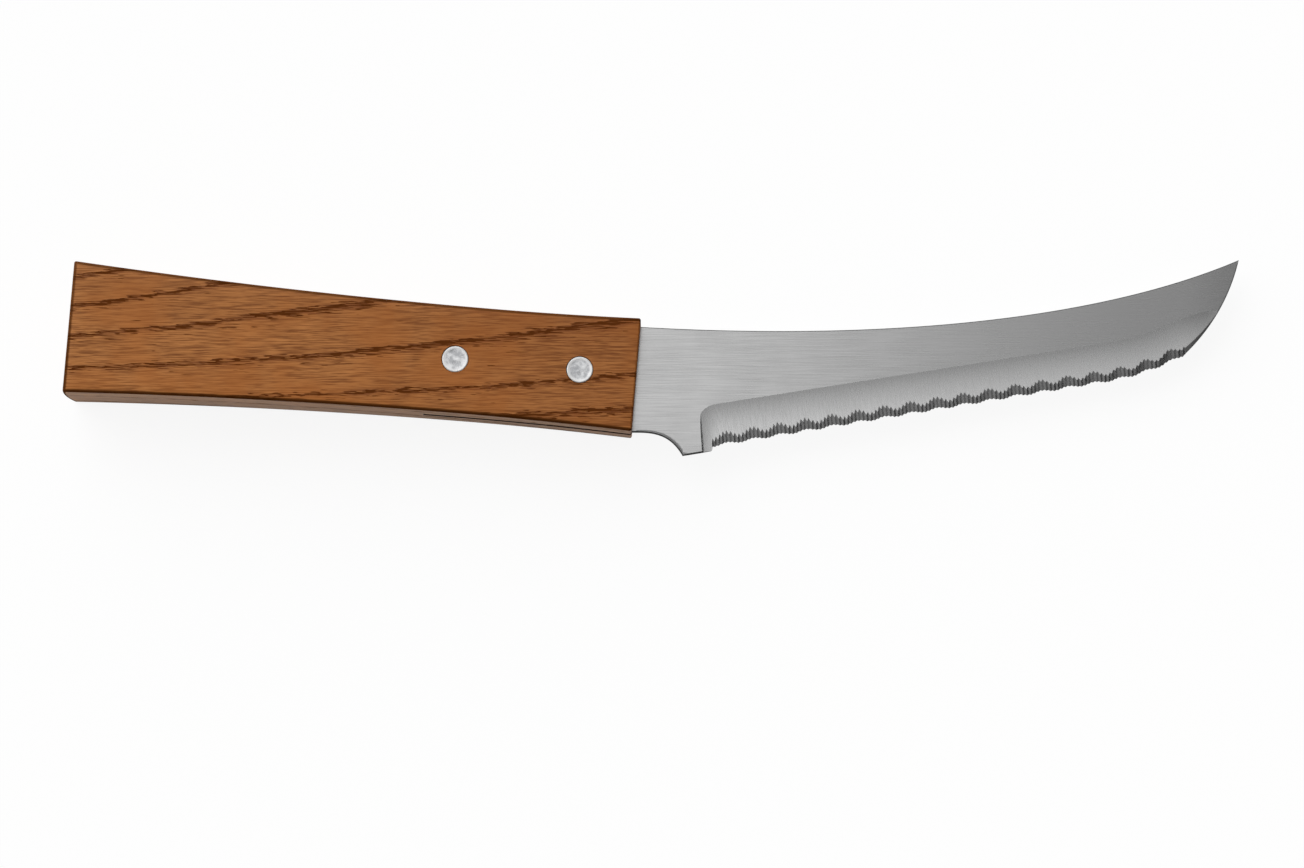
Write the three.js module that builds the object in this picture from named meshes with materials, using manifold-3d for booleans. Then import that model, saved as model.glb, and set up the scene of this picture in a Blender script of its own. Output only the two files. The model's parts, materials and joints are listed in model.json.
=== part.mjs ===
// Soft cheese knife: a stainless blade with a hollow-ground, serrated edge, whose tang is held
// by two rivets in the saw kerf of a waisted wooden handle.
// Millimetres, +Z up. The knife lies on the left side of its handle on a table:
// +X points along the blade to the tip and +Y to the spine.

import * as THREE from 'three';
import { mergeVertices, toCreasedNormals } from 'three/addons/utils/BufferGeometryUtils.js';
import Module from 'manifold-3d';

// Handle, measured along its own axis from its front end, where the blade comes out
const HANDLE_LENGTH = 108.1;
const HANDLE_BUTT_HEIGHT = 25.2;
const HANDLE_WAIST_HEIGHT = 20.5;
const HANDLE_WAIST_FROM_FRONT = 30.2;
const HANDLE_FRONT_HEIGHT = 21.7;
const HANDLE_BUTT_THICKNESS = 15;
const HANDLE_FRONT_THICKNESS = 12;
const HANDLE_EDGE_ROUND = 0.4;
const HANDLE_BUTT_CROWN = 0.6; // the butt bulges this much in the middle of its thickness
const HANDLE_BUTT_CUT_DEG = 0.75; // the butt is cut this far out of square, longer at the spine
const HANDLE_END_CORNER = 0.06; // what is left of the corners' radius on the flat of each end
const HANDLE_CANT_DEG = 4.8; // the blade's X axis turns up this much from the handle's axis

// Rivets through the handle's faces and the tang
const FRONT_RIVET_FROM_FRONT = 10.75;
const RIVET_SPACING = 23.75;
const RIVET_HEAD_DIAMETER = 5;
const RIVET_SHANK_DIAMETER = 4.4;
const RIVET_FLARE_DEPTH = 0.9; // depth over which the peened head narrows to the shank
const RIVET_RIM = 0.4; // width of the raised ring round the dished face
const RIVET_DISH = 0.12;
const RIVET_SET_BACK = 0.1; // the head's rim lies this far below the wood
const RIVET_CLEARANCE = 0.1;

// Tang, and the kerf sawn for it through the whole height of the handle
const TANG_ROOT_HEIGHT = 17;
const TANG_END_HEIGHT = 13;
const TANG_CORNER = 3;
const TANG_PAST_RIVET = 5.5;
const TANG_SHOULDER_DEPTH = 1.5; // the full blade height goes this far into the kerf
const TANG_END_GAP = 0.6;
const KERF_CLEARANCE = 0.1; // on each side of the tang
const SAW_RADIUS = 80; // the round end of the kerf

// Blade outline, measured from the middle of the handle's front end
const BLADE_LENGTH = 115.7;
const BLADE_THICKNESS = 1.5;
const EDGE_BREAK = 0.15; // small chamfer all round the blank
const SPINE_STEP = 0.9; // the spine starts this far below the handle's upper edge
const SPINE_ROOT_DEG = -3.3;
const SPINE_ROOT_REACH = 45.2;
const SPINE_TIP_DEG = 23.2;
const SPINE_TIP_REACH = 30.3;
const TIP_RISE = 22.9;
const TIP_RADIUS = 37.3;
const TIP_SETBACK = 10.4; // the serrated edge ends this far behind the tip
const CHOIL_STEP = 0.45; // the blade's lower side starts this far above the handle's lower edge
const CHOIL_ROOT_REACH = 3.75;
const CHOIL_HEEL_DEG = 60;
const CHOIL_HEEL_REACH = 5.2;
const HEEL_FROM_HANDLE = 8.85;
const HEEL_DROP = 14.88;
const HEEL_LAND = 5.4; // plain stretch between the heel and the serrations

// Cutting edge: straight from the heel, turning up before the tip
const EDGE_DEG = 9.4;
const EDGE_UPTURN_LENGTH = 15;
const EDGE_UPTURN_RISE = 2.78;
const EDGE_THICKNESS = 0.45;

// Hollow grind on both sides of the blade
const GRIND_HEIGHT_HEEL = 7.85;
const GRIND_HEIGHT_TIP = 7.1;
const GRIND_LEAD = 1.74; // the grind starts this far before the serrations
const PLUNGE_LEAN_DEG = 5; // the plunge leans back to the handle as it rises
const PLUNGE_WALL = 0.58; // share of the depth taken at once by the plunge's steep wall
const PLUNGE_WALL_RUN = 0.42;
const PLUNGE_RUN = 4.2; // the rest of the depth is reached over this length
const GRIND_FADE_FROM_TIP = 13;
const GRIND_FADE_LENGTH = 11;

// Serrations, ground into the right side only: fine teeth on a wave of scallops
const HEEL_STEP = 1.02; // the serrated edge lies this far above the heel's land
const STEP_RUN = 0.45;
const FLUTE_HEIGHT = 1.58;
const SCALLOP_PITCH = 5.09;
const SCALLOP_LEAD = 3.25; // from the start of the serrations to the first scallop's crest
const SCALLOP_EDGE_SWING = 0.22;
const SCALLOP_SHOULDER_SWING = 0.49;
const TOOTH_PITCH = 0.76;
const TOOTH_EDGE_SWING = 0.1;
const TOOTH_SHOULDER_SWING_HEEL = 0.42;
const TOOTH_SHOULDER_SWING_TIP = 0.2;

// Narrow bevel on the right side of the round tip
const TIP_BEVEL_WIDTH = 0.85;
const TIP_BEVEL_LENGTH = 11;
const TIP_BEVEL_DEG = 18;

// How finely the surfaces are divided
const HANDLE_SECTIONS = 14;
const ROUND_STEPS = 3;
const CROWN_STEPS = 5;
const OUTLINE_STEPS = 24;
const RIVET_SIDES = 36;
const GRIND_SECTION_STEP = 4;
const GRIND_RISE_STEPS = 5;
const PLUNGE_WALL_SECTIONS = 4;
const PLUNGE_SECTIONS = 6;
const TIP_BEVEL_SECTIONS = 8;
const CREASE_DEG = 30;
const CUT_MARGIN = 1; // how far a cutter stands out of what it cuts

const rad = THREE.MathUtils.degToRad;
const lerp = THREE.MathUtils.lerp;
const cant = rad(HANDLE_CANT_DEG);
const rearRivetX = -(FRONT_RIVET_FROM_FRONT + RIVET_SPACING);
const tangLength = TANG_PAST_RIVET - rearRivetX;
const kerfDepth = tangLength + TANG_END_GAP;
const kerfWidth = BLADE_THICKNESS + 2 * KERF_CLEARANCE;
const rootTopY = HANDLE_FRONT_HEIGHT / 2 - SPINE_STEP;
const rootBottomY = CHOIL_STEP - HANDLE_FRONT_HEIGHT / 2;
const taper = (HANDLE_BUTT_THICKNESS - HANDLE_FRONT_THICKNESS) / (2 * HANDLE_LENGTH);
const landEndX = HEEL_FROM_HANDLE + HEEL_LAND;
const edgeEndX = BLADE_LENGTH - TIP_SETBACK;
const edgeBendX = edgeEndX - EDGE_UPTURN_LENGTH;
const grindFull = (BLADE_THICKNESS - EDGE_THICKNESS) / 2;
const grindStartX = landEndX - GRIND_LEAD;
const plungeLean = Math.tan(rad(PLUNGE_LEAN_DEG));
const grindFadeX = BLADE_LENGTH - GRIND_FADE_FROM_TIP;

const wasm = await Module();
wasm.setup();

// A closed surface as a solid that can be cut, with the triangles that collapse at a pole left out
function toSolid(geometry) {
  geometry.deleteAttribute('normal');
  geometry.deleteAttribute('uv');
  const merged = mergeVertices(geometry);
  const corners = merged.index.array;
  const kept = [];
  for (let i = 0; i < corners.length; i += 3) {
    const [a, b, c] = corners.slice(i, i + 3);
    if (a !== b && b !== c && c !== a) {
      kept.push(a, b, c);
    }
  }
  const vertProperties = Float32Array.from(merged.attributes.position.array);
  const triVerts = Uint32Array.from(kept);
  return new wasm.Manifold(new wasm.Mesh({ numProp: 3, vertProperties, triVerts }));
}

function toMesh(name, solid, material) {
  const { vertProperties, triVerts } = solid.getMesh();
  const geometry = new THREE.BufferGeometry();
  geometry.setAttribute('position', new THREE.BufferAttribute(vertProperties, 3));
  geometry.setIndex(new THREE.BufferAttribute(triVerts, 1));
  const mesh = new THREE.Mesh(toCreasedNormals(geometry, rad(CREASE_DEG)), material);
  mesh.name = name;
  return mesh;
}

// Closed skin through convex rings of equal length, each turning by the right hand about the way on
function loft(rings) {
  const sides = rings[0].length;
  const index = [];
  for (let r = 0; r + 1 < rings.length; r += 1) {
    for (let i = 0; i < sides; i += 1) {
      const a = r * sides + i;
      const b = r * sides + ((i + 1) % sides);
      index.push(a, b, b + sides, a, b + sides, a + sides);
    }
  }
  const last = (rings.length - 1) * sides;
  for (let i = 1; i + 1 < sides; i += 1) {
    index.push(0, i + 1, i, last, last + i, last + i + 1);
  }
  const geometry = new THREE.BufferGeometry().setFromPoints(rings.flat());
  geometry.setIndex(index);
  return geometry;
}

// Handle

const handleHalfThickness = (x) => HANDLE_FRONT_THICKNESS / 2 - x * taper;

// Half the height at x, which is 0 at the front: a parabola on each side of the waist
function handleHalfHeight(x) {
  const fromWaist = x + HANDLE_WAIST_FROM_FRONT;
  const inFront = fromWaist > 0;
  const reach = inFront ? HANDLE_WAIST_FROM_FRONT : HANDLE_LENGTH - HANDLE_WAIST_FROM_FRONT;
  const endHeight = inFront ? HANDLE_FRONT_HEIGHT : HANDLE_BUTT_HEIGHT;
  const swell = (endHeight - HANDLE_WAIST_HEIGHT) / 2;
  return HANDLE_WAIST_HEIGHT / 2 + swell * (fromWaist / reach) ** 2;
}

// Section of the handle at x, drawn in by inset where its ends are rounded
function handleRing(x, inset) {
  const radius = lerp(HANDLE_EDGE_ROUND, HANDLE_END_CORNER, inset / HANDLE_EDGE_ROUND);
  const y = handleHalfHeight(x) - inset - radius;
  const z = handleHalfThickness(x) - inset - radius;
  const ring = [];
  [[1, 1], [-1, 1], [-1, -1], [1, -1]].forEach(([sideY, sideZ], corner) => {
    for (let i = 0; i <= ROUND_STEPS; i += 1) {
      const angle = (corner + i / ROUND_STEPS) * Math.PI / 2;
      const ringY = sideY * y + radius * Math.cos(angle);
      const ringZ = sideZ * z + radius * Math.sin(angle);
      ring.push(new THREE.Vector3(x, ringY, ringZ));
    }
    // The sides above and below are divided, so that they can end in the crown of the butt
    for (let i = 1; sideY !== sideZ && i < CROWN_STEPS; i += 1) {
      ring.push(new THREE.Vector3(x, sideY * (y + radius), sideZ * z * (1 - 2 * i / CROWN_STEPS)));
    }
  });
  return ring;
}

// Moves a section's points along the handle's sides, out to the crowned butt
function crown(ring) {
  for (const point of ring) {
    const across = point.z / (HANDLE_BUTT_THICKNESS / 2);
    const outOfSquare = Math.tan(rad(HANDLE_BUTT_CUT_DEG)) * point.y;
    const x = point.x - HANDLE_BUTT_CROWN * (1 - across ** 2) - outOfSquare;
    const growY = handleHalfHeight(x) / handleHalfHeight(point.x);
    const growZ = handleHalfThickness(x) / handleHalfThickness(point.x);
    point.set(x, point.y * growY, point.z * growZ);
  }
}

function handleBlock() {
  const butt = [];
  const front = [];
  for (let i = 1; i < CROWN_STEPS; i += 1) {
    const narrow = new THREE.Vector3(1, 1, i / CROWN_STEPS);
    butt.push(handleRing(-HANDLE_LENGTH, HANDLE_EDGE_ROUND).map((point) => point.multiply(narrow)));
  }
  for (let i = 0; i < ROUND_STEPS; i += 1) {
    const angle = i / ROUND_STEPS * Math.PI / 2;
    const setBack = HANDLE_EDGE_ROUND * (1 - Math.cos(angle));
    const inset = HANDLE_EDGE_ROUND * (1 - Math.sin(angle));
    butt.push(handleRing(setBack - HANDLE_LENGTH, inset));
    front.unshift(handleRing(-setBack, inset));
  }
  const body = [];
  for (let i = 0; i <= HANDLE_SECTIONS; i += 1) {
    const x = lerp(HANDLE_EDGE_ROUND - HANDLE_LENGTH, -HANDLE_EDGE_ROUND, i / HANDLE_SECTIONS);
    body.push(handleRing(x, 0));
  }
  butt.push(body.shift());
  butt.forEach(crown);
  return loft([...butt, ...body, ...front]);
}

// The saw goes in from the front, so the kerf ends in an arc of the saw's radius
function kerfCutter() {
  const reach = HANDLE_BUTT_HEIGHT;
  const swing = Math.asin(reach / SAW_RADIUS);
  const sawX = SAW_RADIUS - kerfDepth;
  const shape = new THREE.Shape();
  shape.moveTo(CUT_MARGIN, -reach);
  shape.lineTo(CUT_MARGIN, reach);
  shape.absarc(sawX, 0, SAW_RADIUS, Math.PI - swing, Math.PI + swing);
  const settings = { depth: kerfWidth, bevelEnabled: false, curveSegments: OUTLINE_STEPS };
  return new THREE.ExtrudeGeometry(shape, settings).translate(0, 0, -kerfWidth / 2);
}

// Rivets

// Half outline of a rivet from its middle to its dished face, as radius and height
function rivetProfile(x) {
  const face = handleHalfThickness(x) - RIVET_SET_BACK;
  const head = RIVET_HEAD_DIAMETER / 2;
  return [
    [RIVET_SHANK_DIAMETER / 2, face - RIVET_FLARE_DEPTH],
    [head, face - RIVET_RIM / 2],
    [head - RIVET_RIM / 2, face],
    [head - RIVET_RIM, face - RIVET_DISH],
    [0, face - RIVET_DISH],
  ];
}

// Countersunk hole that follows the rivet with clearance and runs out of both faces
function rivetHoleProfile(x) {
  const [shank, head] = rivetProfile(x);
  const mouth = head[0] + RIVET_CLEARANCE;
  const out = handleHalfThickness(x) + CUT_MARGIN;
  return [
    [shank[0] + RIVET_CLEARANCE, shank[1] - RIVET_CLEARANCE],
    [mouth, head[1]],
    [mouth, out],
    [0, out],
  ];
}

// Full turn of a half outline and its mirror image below, about Z at x on the handle's axis
function turned(profile, x) {
  const upper = profile.map(([radius, height]) => new THREE.Vector2(radius, height));
  const lower = profile.map(([radius, height]) => new THREE.Vector2(radius, -height)).reverse();
  const lathe = new THREE.LatheGeometry([...lower, ...upper], RIVET_SIDES);
  return lathe.rotateX(Math.PI / 2).translate(x, 0, 0);
}

// Blade, drawn with X along the blade and Y to the spine

// A point of the handle's frame in the blade's frame
const zero = new THREE.Vector2();
const fromHandle = (x, y) => new THREE.Vector2(x, y).rotateAround(zero, -cant);

// The straight edge line, and the mean line of the serrated edge with its parabolic upturn
const edgeLine = (x) => HEEL_STEP - HEEL_DROP + Math.tan(rad(EDGE_DEG)) * (x - HEEL_FROM_HANDLE);

function edgeY(x) {
  const turned = Math.max(0, x - edgeBendX) / EDGE_UPTURN_LENGTH;
  return edgeLine(x) + EDGE_UPTURN_RISE * turned ** 2;
}

const tip = new THREE.Vector2(BLADE_LENGTH, TIP_RISE);
const edgeEnd = new THREE.Vector2(edgeEndX, edgeY(edgeEndX));

// Centre of the tip's arc, on the upper left of the chord from the edge's end to the tip
function tipCentre() {
  const half = tip.clone().sub(edgeEnd).multiplyScalar(0.5);
  const away = new THREE.Vector2(-half.y, half.x).setLength(Math.sqrt(TIP_RADIUS ** 2 - half.lengthSq()));
  return edgeEnd.clone().add(half).add(away);
}

// Height of the bevel line above the edge
function grindHeight(x) {
  const along = (x - grindStartX) / (edgeEndX - grindStartX);
  return lerp(GRIND_HEIGHT_HEEL, GRIND_HEIGHT_TIP, along);
}

// Share of the depth that the plunge still leaves, this far past the place where the grind starts
function plungeShare(past) {
  const wall = Math.max(0, 1 - past / PLUNGE_WALL_RUN);
  const run = Math.max(0, 1 - past / PLUNGE_RUN);
  return PLUNGE_WALL * wall ** 2 + (1 - PLUNGE_WALL) * run ** 3;
}

// Depth of the hollow grind at a point of the face: full at the edge, nothing at the bevel line,
// with a leaning plunge at the heel and a slow run-out at the tip; negative where nothing is ground
function grindDepth(x, y) {
  const up = y - edgeY(x);
  const rise = Math.max(0, up / grindHeight(x));
  const plunge = plungeShare(x - grindStartX + plungeLean * up);
  const fade = Math.max(0, (x - grindFadeX) / GRIND_FADE_LENGTH);
  return grindFull * (1 - rise ** 2 - plunge - fade ** 2);
}

const halfThickness = (x, y) => BLADE_THICKNESS / 2 - Math.max(0, grindDepth(x, y));

function addTang(shape) {
  const line = (x, y) => shape.lineTo(...fromHandle(x, y));
  const corner = (x, y, toX, toY) => shape.quadraticCurveTo(...fromHandle(x, y), ...fromHandle(toX, toY));
  line(-TANG_SHOULDER_DEPTH, rootBottomY);
  line(-TANG_SHOULDER_DEPTH, -TANG_ROOT_HEIGHT / 2);
  line(TANG_CORNER - tangLength, -TANG_END_HEIGHT / 2);
  corner(-tangLength, -TANG_END_HEIGHT / 2, -tangLength, TANG_CORNER - TANG_END_HEIGHT / 2);
  line(-tangLength, TANG_END_HEIGHT / 2 - TANG_CORNER);
  corner(-tangLength, TANG_END_HEIGHT / 2, TANG_CORNER - tangLength, TANG_END_HEIGHT / 2);
  line(-TANG_SHOULDER_DEPTH, TANG_ROOT_HEIGHT / 2);
  line(-TANG_SHOULDER_DEPTH, rootTopY);
}

// Spine, round tip, edge, heel and choil, then the tang with its rivet holes
function bladeOutline() {
  const rootTop = fromHandle(0, rootTopY);
  const rootBottom = fromHandle(0, rootBottomY);
  const heel = new THREE.Vector2(HEEL_FROM_HANDLE, -HEEL_DROP);
  const reach = (degrees, length) => new THREE.Vector2(length, 0).rotateAround(zero, rad(degrees));
  const spineFrom = reach(SPINE_ROOT_DEG, SPINE_ROOT_REACH).add(rootTop);
  const spineTo = reach(180 + SPINE_TIP_DEG, SPINE_TIP_REACH).add(tip);
  const choilFrom = reach(180 - CHOIL_HEEL_DEG, CHOIL_HEEL_REACH).add(heel);
  const choilTo = reach(0, CHOIL_ROOT_REACH).add(rootBottom);
  const centre = tipCentre();
  const bend = new THREE.Vector2(edgeBendX, edgeLine(edgeBendX) - HEEL_STEP);
  const upturnX = (edgeBendX + edgeEndX) / 2;

  const shape = new THREE.Shape();
  shape.moveTo(...rootTop);
  shape.bezierCurveTo(...spineFrom, ...spineTo, ...tip);
  const tipAngle = tip.clone().sub(centre).angle();
  const edgeAngle = edgeEnd.clone().sub(centre).angle();
  shape.absarc(...centre, TIP_RADIUS, tipAngle, edgeAngle, true);
  shape.quadraticCurveTo(upturnX, edgeLine(upturnX) - HEEL_STEP / 2, ...bend);
  shape.lineTo(...heel);
  shape.bezierCurveTo(...choilFrom, ...choilTo, ...rootBottom);
  addTang(shape);
  for (const x of [-FRONT_RIVET_FROM_FRONT, rearRivetX]) {
    const radius = RIVET_SHANK_DIAMETER / 2 + RIVET_CLEARANCE;
    shape.holes.push(new THREE.Path().absarc(...fromHandle(x, 0), radius, 0, 2 * Math.PI));
  }
  return shape;
}

function bladeBlank() {
  const settings = {
    depth: BLADE_THICKNESS - 2 * EDGE_BREAK,
    bevelThickness: EDGE_BREAK,
    bevelSize: EDGE_BREAK,
    bevelOffset: -EDGE_BREAK,
    bevelSegments: 1,
    curveSegments: OUTLINE_STEPS,
  };
  const blank = new THREE.ExtrudeGeometry(bladeOutline(), settings);
  return blank.translate(0, 0, EDGE_BREAK - BLADE_THICKNESS / 2);
}

// Evenly spread values from one place up to the next, which is left out
const spread = (from, to, count) => Array.from({ length: count }, (_, i) => lerp(from, to, i / count));

// Grinding wheel's sweep on one side of the blade, 1 for the right side and -1 for the left.
// Its sections lean with the plunge.
function grindCutter(side) {
  const wallEndX = grindStartX + PLUNGE_WALL_RUN;
  const plungeEndX = grindStartX + PLUNGE_RUN;
  const endX = BLADE_LENGTH + CUT_MARGIN;
  const stations = [
    grindStartX - EDGE_BREAK,
    ...spread(grindStartX, wallEndX, PLUNGE_WALL_SECTIONS),
    ...spread(wallEndX, plungeEndX, PLUNGE_SECTIONS),
    ...spread(plungeEndX, endX, Math.ceil((endX - plungeEndX) / GRIND_SECTION_STEP)),
    endX,
  ];
  const out = BLADE_THICKNESS / 2 + 2 * grindFull + CUT_MARGIN;
  const rings = stations.map((footX) => {
    const ups = [-HEEL_STEP - CUT_MARGIN];
    for (let i = 0; i <= GRIND_RISE_STEPS; i += 1) {
      ups.push(grindHeight(footX) * i / GRIND_RISE_STEPS);
    }
    ups.push(ups.at(-1) + CUT_MARGIN);
    const ring = ups.map((up) => new THREE.Vector3(footX - plungeLean * up, edgeY(footX) + up));
    for (const point of ring) {
      point.z = side * Math.min(out, BLADE_THICKNESS / 2 - grindDepth(point.x, point.y));
    }
    ring.push(ring.at(-1).clone().setZ(side * (out + CUT_MARGIN)));
    ring.push(ring[0].clone().setZ(side * (out + CUT_MARGIN)));
    return side > 0 ? ring : ring.reverse();
  });
  return loft(rings);
}

// Sweep of the serrating wheel along the edge, with every flute square to the straight edge line.
// Each section is a line that leaves the blade's left face at the edge and its right face at the
// flute's shoulder; both swing with scallops and teeth.
function serrationCutter() {
  const endX = edgeEndX + EDGE_BREAK;
  const normal = new THREE.Vector2(0, 1).rotateAround(zero, rad(EDGE_DEG));
  const count = Math.ceil((endX - landEndX) / (normal.y * TOOTH_PITCH / 2));
  const lowest = -HEEL_STEP - CUT_MARGIN;
  const start = -HEEL_STEP - EDGE_BREAK;
  const rings = [];
  let previous = new THREE.Vector2(landEndX, edgeY(landEndX));
  let along = 0;
  for (let i = 0; i <= count; i += 1) {
    const x = lerp(landEndX, endX, i / count);
    const point = new THREE.Vector2(x, edgeY(x));
    along += point.distanceTo(previous);
    previous = point;
    const scallop = Math.cos(2 * Math.PI * (along - SCALLOP_LEAD) / SCALLOP_PITCH);
    const tooth = i % 2 === 0 ? -1 : 1;
    const toothSwing = lerp(TOOTH_SHOULDER_SWING_HEEL, TOOTH_SHOULDER_SWING_TIP, i / count);
    const runIn = Math.max(0, 1 - along / STEP_RUN);
    const edge = lerp(SCALLOP_EDGE_SWING * scallop + TOOTH_EDGE_SWING * tooth, start, runIn);
    const shoulderSwing = SCALLOP_SHOULDER_SWING * scallop + toothSwing * tooth;
    const shoulder = lerp(FLUTE_HEIGHT + shoulderSwing, start, runIn);
    const back = -halfThickness(point.x, point.y);
    const top = normal.clone().multiplyScalar(shoulder).add(point);
    const front = halfThickness(top.x, top.y);
    const slope = (shoulder - edge) / (front - back);
    const place = (rise, z) => new THREE.Vector3(point.x + normal.x * rise, point.y + normal.y * rise, z);
    const low = back - EDGE_BREAK;
    const high = front + EDGE_BREAK;
    rings.push([
      place(lowest, low),
      place(edge + slope * (low - back), low),
      place(shoulder + slope * (high - front), high),
      place(lowest, high),
    ]);
  }
  return loft(rings);
}

// Narrow bevel on the right side of the tip's arc, widest where the serrations end
function tipBevelCutter() {
  const centre = tipCentre();
  const startAngle = edgeEnd.clone().sub(centre).angle();
  const slope = Math.tan(rad(TIP_BEVEL_DEG));
  const rings = [];
  for (let i = 0; i <= TIP_BEVEL_SECTIONS; i += 1) {
    const along = lerp(-CUT_MARGIN, TIP_BEVEL_LENGTH + CUT_MARGIN, i / TIP_BEVEL_SECTIONS);
    const width = TIP_BEVEL_WIDTH * (1 - along / TIP_BEVEL_LENGTH);
    const angle = startAngle + along / TIP_RADIUS;
    const place = (radius, z) =>
      new THREE.Vector3(centre.x + radius * Math.cos(angle), centre.y + radius * Math.sin(angle), z);
    const top = place(TIP_RADIUS - width, 0);
    const face = halfThickness(top.x, top.y);
    const out = TIP_RADIUS + CUT_MARGIN;
    rings.push([
      place(TIP_RADIUS - width - CUT_MARGIN, face + slope * CUT_MARGIN),
      place(out, face + slope * CUT_MARGIN),
      place(out, face - slope * (width + CUT_MARGIN)),
    ]);
  }
  return loft(rings);
}

// Materials

const wood = new THREE.MeshStandardMaterial({ color: 0x9a6234, roughness: 0.55, metalness: 0 });
const steel = new THREE.MeshStandardMaterial({ color: 0xb4b4b2, roughness: 0.32, metalness: 1 });
const aluminium = new THREE.MeshStandardMaterial({ color: 0xc6c5c2, roughness: 0.42, metalness: 1 });

// Assembly

const handleCuts = [kerfCutter()];
const bladeCuts = [grindCutter(1), grindCutter(-1), serrationCutter(), tipBevelCutter()];
const rivets = new THREE.Group();
const rivetPlaces = { front_rivet: -FRONT_RIVET_FROM_FRONT, rear_rivet: rearRivetX };
for (const [name, x] of Object.entries(rivetPlaces)) {
  handleCuts.push(turned(rivetHoleProfile(x), x));
  rivets.add(toMesh(name, toSolid(turned(rivetProfile(x), x)), aluminium));
}
const cut = (solid, cutter) => solid.subtract(toSolid(cutter));
const handle = toMesh('handle', handleCuts.reduce(cut, toSolid(handleBlock())), wood);
const blade = toMesh('blade', bladeCuts.reduce(cut, toSolid(bladeBlank())), steel);
blade.rotation.z = cant;

// The handle's left face is turned down by half its taper, so that it lies flat on the table
const lying = new THREE.Group();
lying.add(handle, rivets, blade);
lying.rotation.y = Math.atan(taper);

const knife = new THREE.Group();
knife.add(lying);
knife.rotation.z = -cant;

// Origin: on the table, under the middle of the knife's outline
const box = new THREE.Box3().setFromObject(knife, true);
const middle = box.getCenter(new THREE.Vector3());
knife.position.set(-middle.x, -middle.y, -box.min.z);

export default knife;
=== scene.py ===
"""Looks of a soft cheese knife that lies on a pale table.

Sizes are millimetres in the blade's own frame unless a name says otherwise: the origin is the middle of
the handle's front end, X runs along the blade, Y to the spine and Z out of the blade's right side. The
handle's frame has the same origin, and its X axis is the handle's own axis. Meshes are in metres, in the
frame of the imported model.
"""

from __future__ import annotations

import json
import logging
import math
from dataclasses import dataclass, field
from enum import Enum

import bpy
import numpy as np
from mathutils import Matrix, Vector

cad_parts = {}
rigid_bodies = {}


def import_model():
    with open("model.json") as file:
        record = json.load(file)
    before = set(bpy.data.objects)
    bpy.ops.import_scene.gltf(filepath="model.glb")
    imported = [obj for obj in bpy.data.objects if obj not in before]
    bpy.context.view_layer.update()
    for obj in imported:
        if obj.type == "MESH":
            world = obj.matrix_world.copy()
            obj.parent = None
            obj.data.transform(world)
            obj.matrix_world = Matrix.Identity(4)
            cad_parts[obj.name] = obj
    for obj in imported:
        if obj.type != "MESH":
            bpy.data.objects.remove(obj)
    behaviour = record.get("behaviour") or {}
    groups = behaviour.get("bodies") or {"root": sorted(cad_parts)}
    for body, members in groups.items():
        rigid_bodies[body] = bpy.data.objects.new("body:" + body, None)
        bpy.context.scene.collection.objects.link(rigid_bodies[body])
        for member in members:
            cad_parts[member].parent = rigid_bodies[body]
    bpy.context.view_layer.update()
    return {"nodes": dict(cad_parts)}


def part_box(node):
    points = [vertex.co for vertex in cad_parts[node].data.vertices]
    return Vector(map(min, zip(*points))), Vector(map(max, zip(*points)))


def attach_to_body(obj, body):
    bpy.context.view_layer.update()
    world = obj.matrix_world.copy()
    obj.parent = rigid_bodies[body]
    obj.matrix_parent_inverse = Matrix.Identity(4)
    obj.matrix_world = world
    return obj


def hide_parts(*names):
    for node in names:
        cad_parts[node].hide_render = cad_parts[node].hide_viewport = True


LOG = logging.getLogger("knife")
MM = 0.001
BODY = "root"

Socket = bpy.types.NodeSocket
Value = float | Socket
Colour = tuple[float, float, float]


class Slot(Enum):
    """The record's material slots."""

    WOOD = "handle_wood"
    STEEL = "blade_steel"
    ALUMINIUM = "rivet_aluminium"


class Grind(Enum):
    """Which way the scratches run on a ground steel surface."""

    ALONG = "along"
    ACROSS = "across"


class Zone(Enum):
    """Parts of the blade's surface, with their places among its materials."""

    FLATS = 0
    HOLLOWS = 1
    EDGES = 2


def smoothstep(low: float, high: float, value: np.ndarray) -> np.ndarray:
    """Rises smoothly from 0 at low to 1 at high.

    Args:
        low: Where the rise starts.
        high: Where the rise ends.
        value: The places to work it out at.

    Returns:
        3 t^2 - 2 t^3, where t is the share of the way from low to high.
    """
    share = np.clip((value - low) / (high - low), 0.0, 1.0)
    return share * share * (3.0 - 2.0 * share)


def bezier(points: list[tuple[float, float]], steps: int) -> np.ndarray:
    """A cubic curve through its first and last control points.

    Args:
        points: Four control points.
        steps: How many points to return.

    Returns:
        Points on the curve, one a row.
    """
    a, b, c, d = (np.array(p) for p in points)
    t = np.linspace(0.0, 1.0, steps)[:, None]
    s = 1.0 - t
    return s**3 * a + 3 * s**2 * t * b + 3 * s * t**2 * c + t**3 * d


def polar(length: float, degrees: float) -> np.ndarray:
    """A plane vector of that length and direction."""
    angle = math.radians(degrees)
    return np.array([length * math.cos(angle), length * math.sin(angle)])


def leaning(lean: np.ndarray) -> np.ndarray:
    """Directions of the plane that lean back from Y by those angles, one a row."""
    return np.stack([-np.sin(lean), np.cos(lean)], axis=1)


def ways(points: np.ndarray) -> np.ndarray:
    """Directions along a row of points, each of length 1."""
    along = np.gradient(points, axis=0)
    return along / np.linalg.norm(along, axis=1)[:, None]


def add_object(name: str, data: bpy.types.ID) -> bpy.types.Object:
    """Puts a mesh or a camera into the scene.

    Args:
        name: The new object's name.
        data: The mesh or the camera.

    Returns:
        The object.
    """
    made = bpy.data.objects.new(name, data)
    bpy.context.scene.collection.objects.link(made)
    return made


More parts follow.
